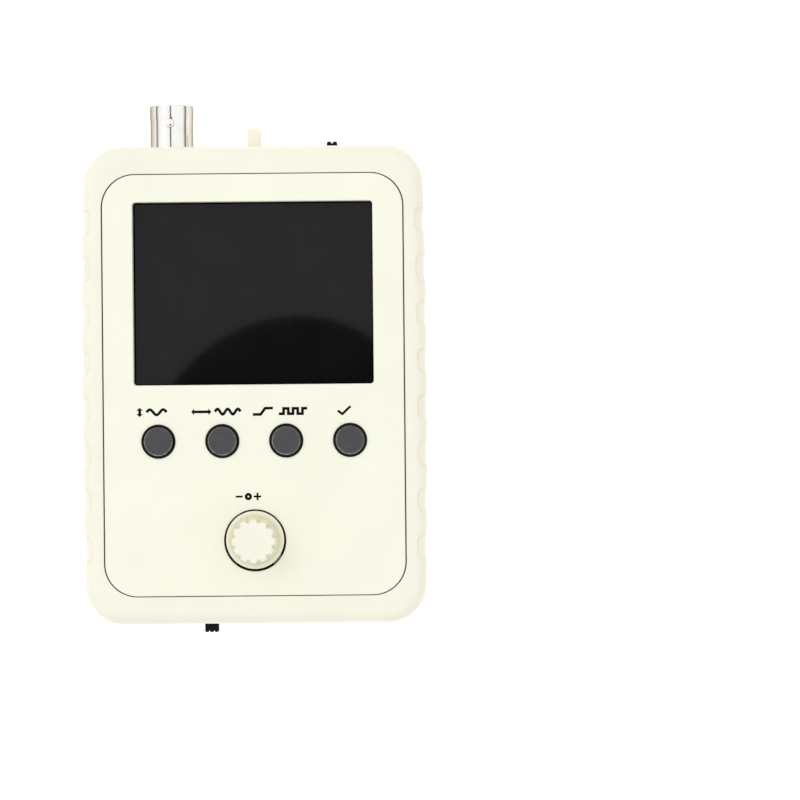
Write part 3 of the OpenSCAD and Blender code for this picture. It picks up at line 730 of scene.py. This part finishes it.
def make_front_shell():
    rings = outer_rings(PARTING, TOP, 1)
    for sine, cosine in quarter_turn(4):
        rings.append(panel_ring(PANEL_GAP + PANEL_EDGE * (1 - sine),
                                TOP - PANEL_EDGE * (1 - cosine)))
    rings.append(panel_ring(PANEL_GAP, LEDGE_Z))
    rings.append(panel_ring(-LEDGE_W, LEDGE_Z))
    rings.append(panel_ring(-LEDGE_W, RIM_Z))
    root = EDGE_R - WALL
    for sine, cosine in quarter_turn(5):
        rings.append(case_ring(EDGE_R - root * sine, RIM_Z - root * (1 - cosine)))
    lip_z = PARTING + LIP_H
    rings.append(case_ring(WALL, lip_z))
    rings.append(case_ring(LIP_T, lip_z))
    rings.append(case_ring(LIP_T, PARTING))
    obj = mesh_object("front_shell_moulding", Shape().loft(rings, loop=True))
    into_rim, below_ledge, pilot_depth = 0.6, 0.4, 2
    added = column(BOSS_R, PARTING + FIT, RIM_Z + into_rim).copies(BOSSES)
    added.join(column(POST_R, MAIN_TOP + FIT, LEDGE_Z - below_ledge).copies(MAIN_POSTS))
    combine(obj, added, "UNION")
    cuts = column(PILOT_R, PARTING - 1, PILOT_TOP).copies(BOSSES)
    cuts.join(column(PILOT_R, MAIN_TOP - 1, MAIN_TOP + pilot_depth).copies(MAIN_POSTS))
    cuts.join(end_openings())
    combine(obj, cuts, "DIFFERENCE")
    return piece(obj, BODY, "case_plastic", ["front_shell"])


def make_rear_shell():
    seam = PARTING - FIT
    lip_z = PARTING + LIP_H - FIT
    lip_in = LIP_T + FIT
    root = EDGE_R - WALL
    rings = [case_ring(EDGE_R, WALL)]
    for sine, cosine in quarter_turn(5)[1:]:
        rings.append(case_ring(EDGE_R - root * sine, WALL + root * (1 - cosine)))
    rings.append(case_ring(WALL, lip_z))
    rings.append(case_ring(lip_in, lip_z))
    rings.append(case_ring(lip_in, seam))
    rings += outer_rings(seam, 0, -1)
    obj = mesh_object("rear_shell_moulding", Shape().loft(rings))
    root_z, pilot_low, pilot_high = 0.5, 1.2, 4
    added = column(BOSS_R, root_z, seam).copies(BOSSES)
    added.join(column(ANALOG_POST_R, root_z, ANALOG_LOW - FIT).copies(ANALOG_POSTS))
    combine(obj, added, "UNION")
    well = flared(lambda g: circle(WELL_R + g, 48), along_z, WELL_H, 0, WELL_EDGE)
    cuts = well.copies(BOSSES)
    cuts.join(column(PILOT_R, pilot_low, pilot_high).copies(ANALOG_POSTS))
    cuts.join(end_openings())
    cuts.join(rear_groove())
    combine(obj, cuts, "DIFFERENCE")
    combine(obj, column(SHANK_R, WELL_H - 1, seam + 1).copies(BOSSES), "DIFFERENCE")
    return piece(obj, BODY, "case_plastic", ["rear_shell"])


def rear_groove():
    """Shallow frame line in the rear face, with sloping sides."""
    w, l, r, depth, line_w, slope = 51.0, 71.0, 3.6, 0.3, 0.6, 0.15
    section = [(0.0, -1.0), (0.0, 0.0), (-slope, depth), (slope - line_w, depth), (-line_w, 0.0),
               (-line_w, -1.0)]
    rings = [along_z(round_rect(w + 2 * g, l + 2 * g, r + g, 8), z) for g, z in section]
    return Shape().loft(rings, loop=True)


def make_front_panel():
    w, l = PANEL_HIGH.x * 2 - 2 * PANEL_TRIM, PANEL_HIGH.y - PANEL_LOW.y

    def ring(grow, z):
        return along_z(round_rect(w + 2 * grow, l + 2 * grow, PANEL_R + grow, 20), z, (0, PANEL_CY))

    rings = [ring(-REAR_BEVEL, PANEL_LOW.z), ring(0, PANEL_LOW.z + REAR_BEVEL)]
    for sine, cosine in quarter_turn(4):
        rings.append(ring(-PANEL_EDGE * (1 - cosine), TOP - PANEL_EDGE * (1 - sine)))
    obj = mesh_object("front_panel_plate", Shape().loft(rings))
    under = PANEL_LOW.z - 1
    cuts = flared(lambda g: round_rect(WINDOW_W + 2 * g, WINDOW_L + 2 * g, WINDOW_R + g, 8),
                  lambda o, z: along_z(o, z, (0, WINDOW_Y)), under, TOP, WINDOW_EDGE)
    for i in range(1, 5):
        _, _, mid = boxed(f"button_cap_{i}")
        cuts.join(flared(lambda g: circle(BUTTON_HOLE_R + g, 72),
                         lambda o, z: along_z(o, z, (mid.x, mid.y)), under, TOP,
                         BUTTON_HOLE_EDGE))
    _, _, mid = boxed("knob")
    cuts.join(flared(lambda g: circle(KNOB_HOLE_R + g, 96),
                     lambda o, z: along_z(o, z, (mid.x, mid.y - KNOB_HOLE_DROP)), under, TOP,
                     KNOB_HOLE_EDGE))
    combine(obj, cuts, "DIFFERENCE")
    return piece(obj, BODY, "panel_plastic", ["front_panel"])


# ---------------------------------------------------------------- display

def make_display_glass():
    w, l = GLASS_HIGH.x - GLASS_LOW.x, GLASS_HIGH.y - GLASS_LOW.y
    edge, corner_r = 0.12, 0.5
    levels = [(GLASS_LOW.z, -edge), (GLASS_LOW.z + edge, 0), (GLASS_HIGH.z - edge, 0),
              (GLASS_HIGH.z, -edge)]
    rings = [along_z(round_rect(w + 2 * g, l + 2 * g, corner_r, 4), z, (0, WINDOW_Y))
             for z, g in levels]
    obj = mesh_object("display_glass", Shape().loft(rings))
    return piece(obj, BODY, "display", ["lcd_glass"])


# ---------------------------------------------------------------- buttons and knob

def make_button_cap(index):
    low, high, mid = boxed(f"button_cap_{index}")
    flange_r = (high.x - low.x) / 2
    r, crown, flange_h, top = 3.14, 0.06, 1, high.z
    flat_r, highlight_r = r - 0.32, r - 0.12
    flange_z = low.z + flange_h
    profile = fillet_path([(AXIS_R, low.z, 0), (flange_r, low.z, 0.15), (flange_r, flange_z, 0.15),
                           (r, flange_z, 0.1), (r, top - crown, 0.14), (flat_r, top, 0),
                           (AXIS_R, top, 0)], closed=False, steps=8)
    obj = mesh_object(f"button_top_{index}", revolve_z(profile, (mid.x, mid.y), 72))

    def rim_highlight_share(x, y, z):
        """Painted highlight round the rim, most on the side towards the user."""
        x, y = x - mid.x, y - mid.y
        mean, swing, turn = 0.62, 0.38, 0.3
        ring = smoothstep(flat_r, highlight_r, math.hypot(x, y)) if z > top - 0.2 else 0
        return ring * (mean - swing * math.sin(math.atan2(y, x) + turn))

    mark_painted_light(obj, rim_highlight_share)
    return piece(obj, f"button_{index}", "button_plastic", [f"button_cap_{index}"])


FLUTES = 12
FLUTE_STEPS = 22


def make_knob():
    low, high, mid = boxed("knob")
    skirt_trim, skirt_h = 0.04, 1.9
    skirt_r = (high.x - low.x) / 2 - skirt_trim
    skirt_z, top = low.z + skirt_h, high.z
    bore_r, bore_z = 3.05, node_box("encoder_spindle")[1].z + FIT
    foot_r, head_r, dish_r, dish = 5.15, 4.72, 3.82, 0.1
    profile = fillet_path([(AXIS_R, bore_z, 0), (bore_r, bore_z, 0.1), (bore_r, low.z, 0.2),
                           (skirt_r, low.z, 0.15), (skirt_r, skirt_z, 0.3),
                           (foot_r, skirt_z, 0.25), (head_r, top, 0.4), (dish_r, top, 0.3),
                           (AXIS_R, top - dish, 0)],
                          closed=False, steps=8)
    count = FLUTES * FLUTE_STEPS
    half_flute, depth = 0.56, 0.56
    rings = []
    for p in profile:
        outside = p.x > bore_r + 0.2 and p.y > skirt_z + 0.02
        gate = smoothstep(skirt_z + 0.1, skirt_z + 0.8, p.y) if outside else 0
        gate *= smoothstep(head_r - 0.85, head_r - 0.35, p.x)
        ring = []
        for k in range(count):
            a = 2 * math.pi * k / count
            offset = (k % FLUTE_STEPS - FLUTE_STEPS / 2) * 2 * math.pi / count * p.x / half_flute
            groove = math.sqrt(max(0.0, 1 - offset * offset)) * gate * depth
            r = p.x - groove
            ring.append(Vector((mid.x + r * math.cos(a), mid.y + r * math.sin(a), p.y)))
        rings.append(ring)
    obj = mesh_object("knob_cap", Shape().loft(rings))

    def flank_shade_share(x, y, z):
        """Painted shade down the grip's side, and less on the skirt."""
        skirt = 0.7 * smoothstep(skirt_z + 0.5, skirt_z, z)
        return smoothstep(top - 0.12, top - 0.5, z) - skirt

    mark_painted_light(obj, flank_shade_share)
    return piece(obj, "knob_body", "case_plastic", ["knob"])


# ---------------------------------------------------------------- input jack

JACK_LAND = 3.1


def make_jack():
    tip, base = JACK_HIGH.y, JACK_LOW.y
    land_r, bore_r, seat_r, floor_y = 4.8, 4.1, 2.45, 53.0
    neck_r = land_r - 0.1
    land_y = tip - JACK_LAND
    at = (JACK_MID.x, AXIS_Z)
    profile = fillet_path([(neck_r, base, 0.1), (neck_r, land_y - 0.3, 0.8),
                           (land_r, land_y + 0.4, 0.8), (land_r, tip, 0.3), (bore_r, tip, 0.22),
                           (bore_r, floor_y, 0.3), (seat_r, floor_y, 0.05), (seat_r, base, 0.05)],
                          steps=4)
    obj = mesh_object("jack_barrel", revolve_y(profile, at, 128, loop=True))
    lug_r, lug_h, lug_crown, lug_back, lug_root = 0.95, 1.3, 1.38, 1.05, 0.55
    lug = fillet_path([(AXIS_R, 0, 0), (lug_r, 0, 0.05), (lug_r, lug_h, 0.3),
                       (AXIS_R, lug_crown, 0)], closed=False, steps=5)
    lugs = Shape()
    for way in (-1, 1):
        rings = [along_z(circle(r, 40), AXIS_Z + way * (land_r - lug_root + h),
                         (at[0], land_y - lug_back)) for r, h in lug]
        lugs.join(Shape().loft(rings))
    combine(obj, lugs, "UNION")

    def painted_reflection_share(x, y, z):
        """Painted darker reflection and shade from just above the middle down, more on the side
        away from the lever.
        """
        side = 1 - 0.4 * smoothstep(-1, 1, x - at[0])
        outside = math.hypot(x - at[0], z - AXIS_Z) > neck_r - 0.2
        return side * smoothstep(0.74 * land_r, 0.66 * land_r, z - AXIS_Z) if outside else 0

    mark_painted_light(obj, painted_reflection_share)
    return piece(obj, BODY, "nickel", ["jack_shell"])


def make_jack_insides():
    at = (JACK_MID.x, AXIS_Z)
    low, high, _ = boxed("jack_insulator")
    r, mouth_r, hole_r = 2.4, 1.1, 0.75
    sleeve = fillet_path([(r, low.y, 0.05), (r, high.y, 0.25), (mouth_r, high.y, 0.15),
                          (mouth_r, high.y - 0.5, 0.1), (hole_r, high.y - 0.9, 0.05),
                          (hole_r, low.y, 0.05)], steps=4)
    piece(mesh_object("jack_sleeve", revolve_y(sleeve, at, 96, loop=True)), BODY, "ptfe",
          ["jack_insulator"])
    low, high, _ = boxed("jack_contact")
    bore_y = high.y - 5
    r, bore_r, slit_w, slit_l = 0.7, 0.45, 0.16, 3
    profile = fillet_path([(PIN_AXIS_R, low.y, 0), (r, low.y, 0.1), (r, high.y, 0.12),
                           (bore_r, high.y, 0.08), (bore_r, bore_y, 0.05), (PIN_AXIS_R, bore_y, 0)],
                          closed=False, steps=4)
    obj = mesh_object("jack_pin_tube", revolve_y(profile, at, 64))
    for w, h in ((slit_w, slit_l), (slit_l, slit_w)):
        section = round_rect(w, h, 0.02, 1)
        slit = [along_y(section, y, at) for y in (high.y - slit_l, high.y + 1)]
        combine(obj, Shape().loft(slit), "DIFFERENCE")
    return piece(obj, BODY, "gold", ["jack_contact"])


# ---------------------------------------------------------------- slide switch levers

def lever_rings(x, way, wall_y, w):
    """Sections from the foot inside the can to where the grip leaves the wall."""
    can_front = wall_y - CAN_GAP * way
    foot_front = can_front - way * CAN_T
    foot, stem = (6.0, 5.4, LEVER_R), (2.2, 2.0, 0.2)
    sections = [(foot_front - way * FOOT_H, *foot), (foot_front, *foot), (foot_front, *stem),
                (can_front + way * 0.1, *stem),
                (can_front + way * 0.1, w - 0.2, LEVER_H - 0.2, LEVER_R),
                (can_front + way * 0.2, w, LEVER_H, LEVER_R)]
    return [along_y(round_rect(a, b, r, 5), y, (x, AXIS_Z)) for y, a, b, r in sections]


def make_coupling_lever():
    """Pale lever with a rounded end."""
    wall_y = HALF_L - WALL
    tip = COUPLING_HIGH.y
    rings = lever_rings(COUPLING_MID.x, 1, wall_y, LEVER_W)
    turn_r = 0.85
    for sine, cosine in quarter_turn(8):
        inset = turn_r * (1 - cosine)
        section = round_rect(LEVER_W - 2 * inset, LEVER_H - 1.2 * inset, LEVER_R, 5)
        rings.append(along_y(section, tip - turn_r * (1 - sine), (COUPLING_MID.x, AXIS_Z)))
    obj = mesh_object("coupling_lever_grip", Shape().loft(rings))
    return piece(obj, "coupling_slider", "case_plastic", ["coupling_lever"])


def make_power_lever():
    """Black lever with three ridges across its end."""
    wall_y = -HALF_L + WALL
    tip = POWER_LOW.y
    at, end_bevel = (POWER_MID.x, AXIS_Z), 0.3
    rings = lever_rings(POWER_MID.x, -1, wall_y, POWER_W)
    rings.append(along_y(round_rect(POWER_W, LEVER_H, LEVER_R, 5), tip + 0.25, at))
    rings.append(along_y(round_rect(POWER_W - end_bevel, LEVER_H - end_bevel, 0.25, 5), tip, at))
    obj = mesh_object("power_lever_grip", Shape().loft(rings))
    grooves = Shape()
    for x in (-0.55, 0.55):
        outline = fillet_path([(x - 0.3, tip - 0.4, 0), (x + 0.3, tip - 0.4, 0),
                               (x + 0.1, tip + 0.38, 0.08), (x - 0.1, tip + 0.38, 0.08)])
        rings = [along_z(outline, AXIS_Z + z, (POWER_MID.x, 0)) for z in (-3, 3)]
        grooves.join(Shape().loft(rings))
    combine(obj, grooves, "DIFFERENCE")
    soften(obj, 0.06)
    return piece(obj, "power_slider", "black_plastic", ["power_lever"])


# ---------------------------------------------------------------- test terminal and DC inlet

def tube(path, radius, count=20):
    """Round wire along a path of points in a plane across X."""
    rings = []
    for i, p in enumerate(path):
        before, after = path[max(i - 1, 0)], path[min(i + 1, len(path) - 1)]
        way = (after - before).normalized()
        side = Vector((1, 0, 0))
        up = way.cross(side)
        rings.append([p + side * (radius * c.x) + up * (radius * c.y) for c in circle(1, count)])
    return Shape().loft(rings)


def make_terminal():
    wire_r = 0.35
    loop_r = TERMINAL_HIGH.z - AXIS_Z - wire_r
    x, bend_y = TERMINAL_MID.x, TERMINAL_HIGH.y - wire_r - loop_r
    path = [Vector((x, TERMINAL_LOW.y, AXIS_Z - loop_r)), Vector((x, bend_y - 1, AXIS_Z - loop_r))]
    for k in range(25):
        a = -math.pi / 2 + math.pi * k / 24
        path.append(Vector((x, bend_y + loop_r * math.cos(a), AXIS_Z + loop_r * math.sin(a))))
    path += [Vector((x, bend_y - 1, AXIS_Z + loop_r)), Vector((x, TERMINAL_LOW.y, AXIS_Z + loop_r))]
    piece(mesh_object("terminal_wire", tube(path, wire_r)), BODY, "nickel", ["terminal_loop"])

    low, high, mid = boxed("terminal_base")
    half_h = loop_r + 0.8
    outline = fillet_path([(2, low.y, 0.2), (2, low.y + 1.5, 0.2), (1.15, low.y + 1.5, 0.1),
                           (1.15, high.y, 0.42), (0.32, high.y, 0.3), (0.16, high.y - 0.5, 0.12),
                           (-0.16, high.y - 0.5, 0.12), (-0.32, high.y, 0.3), (-1.15, high.y, 0.42),
                           (-1.15, low.y + 1.5, 0.1), (-2, low.y + 1.5, 0.2), (-2, low.y, 0.2)])
    obj = mesh_object("terminal_foot", Shape().loft(
        [along_z(outline, mid.z + z, (x, 0)) for z in (-half_h, half_h)]))
    holes = Shape()
    for way in (-1, 1):
        holes.join(revolve_y([(wire_r + 0.04, low.y - 1), (wire_r + 0.04, high.y + 1)],
                             (x, AXIS_Z + way * loop_r), 24))
    combine(obj, holes, "DIFFERENCE")
    return piece(obj, BODY, "black_plastic", ["terminal_base"])


def make_inlet():
    low, high, mid = boxed("inlet_body")
    at = (INLET_MID.x, INLET_MID.z)
    collar_h, collar_r, body_w = 1.6, 3.75, 9
    socket_r, socket_depth, pin_hole_r = 3.15, 10.5, 0.85
    wall = low.y + collar_h
    body = round_rect(body_w, high.z - low.z, 0.3, 3)
    obj = mesh_object("inlet_housing", Shape().loft(
        [along_y(body, y, (mid.x, mid.z)) for y in (wall, high.y)]))
    collar = fillet_path([(0.1, wall + 1, 0), (collar_r, wall + 1, 0), (collar_r, low.y, 0.25),
                          (0.1, low.y, 0)], closed=False, steps=4)
    combine(obj, revolve_y(collar, at, 72), "UNION")
    mouth = flared(lambda g: circle(socket_r + g, 72), lambda o, y: along_y(o, y, at),
                   low.y + socket_depth, low.y, 0.25)
    combine(obj, mouth, "DIFFERENCE")
    pin_hole = revolve_y([(pin_hole_r, low.y + 9), (pin_hole_r, high.y + 1)], at, 32)
    combine(obj, pin_hole, "DIFFERENCE")
    piece(obj, BODY, "black_plastic", ["inlet_body"])
    pin_r, tail_r, tail_y = 1.0, 0.8, INLET_LOW.y + 6.5
    pin = fillet_path([(PIN_AXIS_R, INLET_LOW.y, 0), (pin_r, INLET_LOW.y, 0.45),
                       (pin_r, tail_y, 0.1), (tail_r, tail_y, 0.05), (tail_r, INLET_HIGH.y, 0.1),
                       (PIN_AXIS_R, INLET_HIGH.y, 0)], closed=False, steps=5)
    obj = mesh_object("inlet_contact", revolve_y(pin, at, 48))
    return piece(obj, BODY, "nickel", ["inlet_pin"])


# ---------------------------------------------------------------- screws

def make_case_screws():
    """Four pan-head screws with a cross recess."""
    low, high, _ = boxed("case_screws")
    head_r, shank_r, head_z, point_h = 2.0, 1.0, low.z + 1.6, 1.2
    profile = fillet_path([(AXIS_R, low.z, 0), (head_r, low.z, 0.7), (head_r, head_z, 0.1),
                           (shank_r, head_z, 0.1), (shank_r, high.z - point_h, 0.3),
                           (AXIS_R, high.z, 0)], closed=False, steps=6)
    obj = mesh_object("case_screw_set", revolve_z(profile, (0, 0), 56).copies(BOSSES))
    for w, l in ((0.55, 2.3), (2.3, 0.55)):
        wide, narrow = round_rect(w, l, 0.1, 3), round_rect(w * 0.7, l * 0.7, 0.08, 3)
        blade = Shape().loft([along_z(wide, low.z - 0.5), along_z(wide, low.z),
                              along_z(narrow, low.z + 0.9)])
        combine(obj, blade.copies(BOSSES), "DIFFERENCE")
    return piece(obj, BODY, "steel", ["case_screws"])


# ---------------------------------------------------------------- printed marks

INK_LOW = TOP + 0.002
INK_HIGH = TOP + 0.02
STROKE = 0.58


def band(points, width=STROKE, closed=False):
    """Outline of a line of constant width through points, with mitred corners."""
    count = len(points)
    left, right = [], []
    for i in range(count):
        p = Vector(points[i])
        before = Vector(points[i - 1]) if i > 0 or closed else None
        after = Vector(points[(i + 1) % count]) if i < count - 1 or closed else None
        ways = [w.normalized() for w in ((p - before) if before else None,
                                         (after - p) if after else None) if w is not None]
        normals = [Vector((-w.y, w.x)) for w in ways]
        mitre = sum(normals, Vector((0, 0))).normalized()
        reach = width / 2 / max(mitre.dot(normals[0]), 0.4)
        left.append(p + mitre * reach)
        right.append(p - mitre * reach)
    return left, right


def solid_band(points, width=STROKE, closed=False):
    left, right = band(points, width, closed)
    if closed:
        rings = [along_z(left, INK_LOW), along_z(left, INK_HIGH), along_z(right, INK_HIGH),
                 along_z(right, INK_LOW)]
        return Shape().loft(rings, loop=True)
    return solid_outline(left + right[::-1])


def solid_outline(points):
    outline = [Vector(p) for p in points]
    return Shape().loft([along_z(outline, INK_LOW), along_z(outline, INK_HIGH)])


def double_arrow(half, head=0.62, spread_w=0.72, upright=False):
    """Arrow with a head at both ends, centred."""
    s = STROKE / 2
    points = [(-half, 0), (-half + head, spread_w), (-half + head, s), (half - head, s),
              (half - head, spread_w), (half, 0), (half - head, -spread_w), (half - head, -s),
              (-half + head, -s), (-half + head, -spread_w)]
    if upright:
        points = [(y, x) for x, y in points]
    return solid_outline(points)


def wave(length, height, periods, samples=16):
    count = int(samples * periods) + 1
    return solid_band([(length * (k / (count - 1) - 0.5),
                        height / 2 * math.sin(2 * math.pi * periods * k / (count - 1)))
                       for k in range(count)])


def square_wave(length, height, periods):
    points = []
    step = length / periods / 2
    for k in range(2 * periods):
        level = height / 2 if k % 2 else -height / 2
        x = -length / 2 + k * step
        points += [(x, level), (x + step, level)]
    return solid_band(points)


def ring_mark(r):
    return solid_band([tuple(p) for p in circle(r, 40)], closed=True)


def make_marks():
    """Plain pictograms over the buttons and the knob."""
    mark_h = 1.75
    _, _, first = boxed("button_cap_1")
    row_y = first.y + 6.45
    centres = [boxed(f"button_cap_{i}")[2].x - 1.35 for i in range(1, 5)]
    shapes = [
        (double_arrow(1.0, upright=True), centres[0] - 2.7, row_y),
        (wave(4.4, mark_h - STROKE, 1.5), centres[0] + 1.0, row_y),
        (double_arrow(2.2), centres[1] - 3.2, row_y),
        (wave(5.6, mark_h - STROKE, 2.5), centres[1] + 2.6, row_y),
        (solid_band([(-2.2, -0.68), (-0.5, -0.68), (0.5, 0.68), (2.2, 0.68)]), centres[2] - 3.7,
         row_y),
        (square_wave(6.2, mark_h - STROKE, 3), centres[2] + 2.9, row_y),
        (solid_band([(-1.3, 0.0), (-0.3, -0.75), (1.5, 0.95)], 0.5), centres[3], row_y),
    ]
    _, _, knob = boxed("knob")
    knob_x, knob_y = knob.x - 1.4, knob.y + 9.5
    shapes += [
        (solid_outline([(-0.75, -0.2), (0.75, -0.2), (0.75, 0.2), (-0.75, 0.2)]), knob_x - 2.0,
         knob_y),
        (solid_outline([(-0.2, -0.8), (0.2, -0.8), (0.2, -0.2), (0.8, -0.2), (0.8, 0.2), (0.2, 0.2),
                        (0.2, 0.8), (-0.2, 0.8), (-0.2, 0.2), (-0.8, 0.2), (-0.8, -0.2),
                        (-0.2, -0.2)]), knob_x + 2.0, knob_y),
        (ring_mark(0.5), knob_x, knob_y),
    ]
    made = Shape()
    for shape, x, y in shapes:
        made.join(shape.copies([(x, y, 0)]))
    obj = mesh_object("panel_marks", made)
    ink = plastic("mark_ink", (0.004, 0.004, 0.004), 0.6, grain=0.3, sheen=0.05)
    obj.data.materials.append(ink)
    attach(obj, BODY)
    return obj


# ---------------------------------------------------------------- stage

def make_stage():
    floor = bpy.data.meshes.new("floor")
    reach = 6.0
    corners = [(-reach, -reach, 0), (reach, -reach, 0), (reach, reach, 0), (-reach, reach, 0)]
    floor.from_pydata(corners, [], [(0, 1, 2, 3)])
    ground = bpy.data.objects.new("floor", floor)
    ground.location.z = -0.02 * MM
    bpy.context.scene.collection.objects.link(ground)
    material, tree, shader = start_material("floor")
    slow = noise(tree, 60.0, 2.0)
    tone = mix_colour(tree, remap(tree, slow, 0.0, 1.0), rgba((0.90, 0.90, 0.90)),
                      rgba((0.92, 0.92, 0.92)))
    tree.links.new(tone, shader.inputs["Base Color"])
    shader.inputs["Roughness"].default_value = 0.9
    shader.inputs["Specular IOR Level"].default_value = 0.1
    shader.inputs["Emission Color"].default_value = (1, 1, 1, 1)
    shader.inputs["Emission Strength"].default_value = 0.30
    ground.data.materials.append(material)


def make_light(name, place, size, power, target=(0, 0, 0.01)):
    data = bpy.data.lights.new(name, "AREA")
    data.size = size
    data.energy = power
    light = bpy.data.objects.new(name, data)
    light.location = place
    light.rotation_mode = "QUATERNION"
    light.rotation_quaternion = (Vector(target) - Vector(place)).to_track_quat("-Z", "Y")
    bpy.context.scene.collection.objects.link(light)


def make_world():
    """White surroundings with a darker band along the horizon."""
    world = bpy.data.worlds.new("studio")
    world.use_nodes = True
    tree = world.node_tree
    place = tree.nodes.new("ShaderNodeTexCoord")
    split = tree.nodes.new("ShaderNodeSeparateXYZ")
    tree.links.new(place.outputs["Generated"], split.inputs["Vector"])
    ramp = tree.nodes.new("ShaderNodeValToRGB")
    tree.links.new(split.outputs["Z"], ramp.inputs["Fac"])
    stops = ramp.color_ramp.elements
    stops[0].position, stops[0].color = 0.0, (0.26, 0.235, 0.20, 1)
    stops[1].position, stops[1].color = 0.5, (1, 1, 1, 1)
    stops.new(0.2).color = (0.33, 0.31, 0.28, 1)
    stops.new(0.31).color = (0.9, 0.9, 0.89, 1)
    sky = tree.nodes["Background"]
    tree.links.new(ramp.outputs["Color"], sky.inputs["Color"])
    sky.inputs["Strength"].default_value = 1.04
    bpy.context.scene.world = world


FRAME_SPAN = 176.2 * MM
FRAME_CENTRE = Vector((32.01, -3.66, SHOULDER)) * MM
CAMERA_RISE = 0.55
CAMERA_ROLL = -0.54
SENSOR = 36.0


def make_camera():
    data = bpy.data.cameras.new("camera")
    data.sensor_width = SENSOR
    data.lens = SENSOR * CAMERA_RISE / FRAME_SPAN
    camera = bpy.data.objects.new("camera", data)
    camera.location = FRAME_CENTRE + Vector((0, 0, CAMERA_RISE))
    camera.rotation_euler = (0, 0, math.radians(CAMERA_ROLL))
    bpy.context.scene.collection.objects.link(camera)
    bpy.context.scene.camera = camera


CARD_Z = 600


def make_card(name, outline, x, y):
    """Black card over the object, for its glossy faces to reflect."""
    shape = Shape().loft([along_z(outline, CARD_Z, (x, y)), along_z(outline, CARD_Z + 3, (x, y))])
    obj = mesh_object(name, shape)
    material, _, shader = start_material(name)
    shader.inputs["Base Color"].default_value = (0.01, 0.01, 0.01, 1)
    shader.inputs["Roughness"].default_value = 0.9
    obj.data.materials.append(material)


# ---------------------------------------------------------------- build

def dress_frame():
    """Gives every CAD node that stays its slot's material."""
    for part in frame["record"]["subparts"]:
        mesh = frame["nodes"][part["node"]].data
        mesh.materials.clear()
        mesh.materials.append(MATERIALS[part["material_slot"]])


make_camera()
make_world()
make_light("key", (-0.75, 0.6, 0.9), 0.8, 2.2)
make_stage()
make_card("round_card", circle(68, 64), -13.6, -33.7)
make_card("bar_card", round_rect(84, 56, 10), -37, 126)
dress_frame()
make_front_shell()
make_rear_shell()
make_front_panel()
make_display_glass()
for number in range(1, 5):
    make_button_cap(number)
make_knob()
make_jack()
make_jack_insides()
make_coupling_lever()
make_power_lever()
make_terminal()
make_inlet()
make_case_screws()
make_marks()
bpy.context.scene.view_settings.view_transform = "Standard"
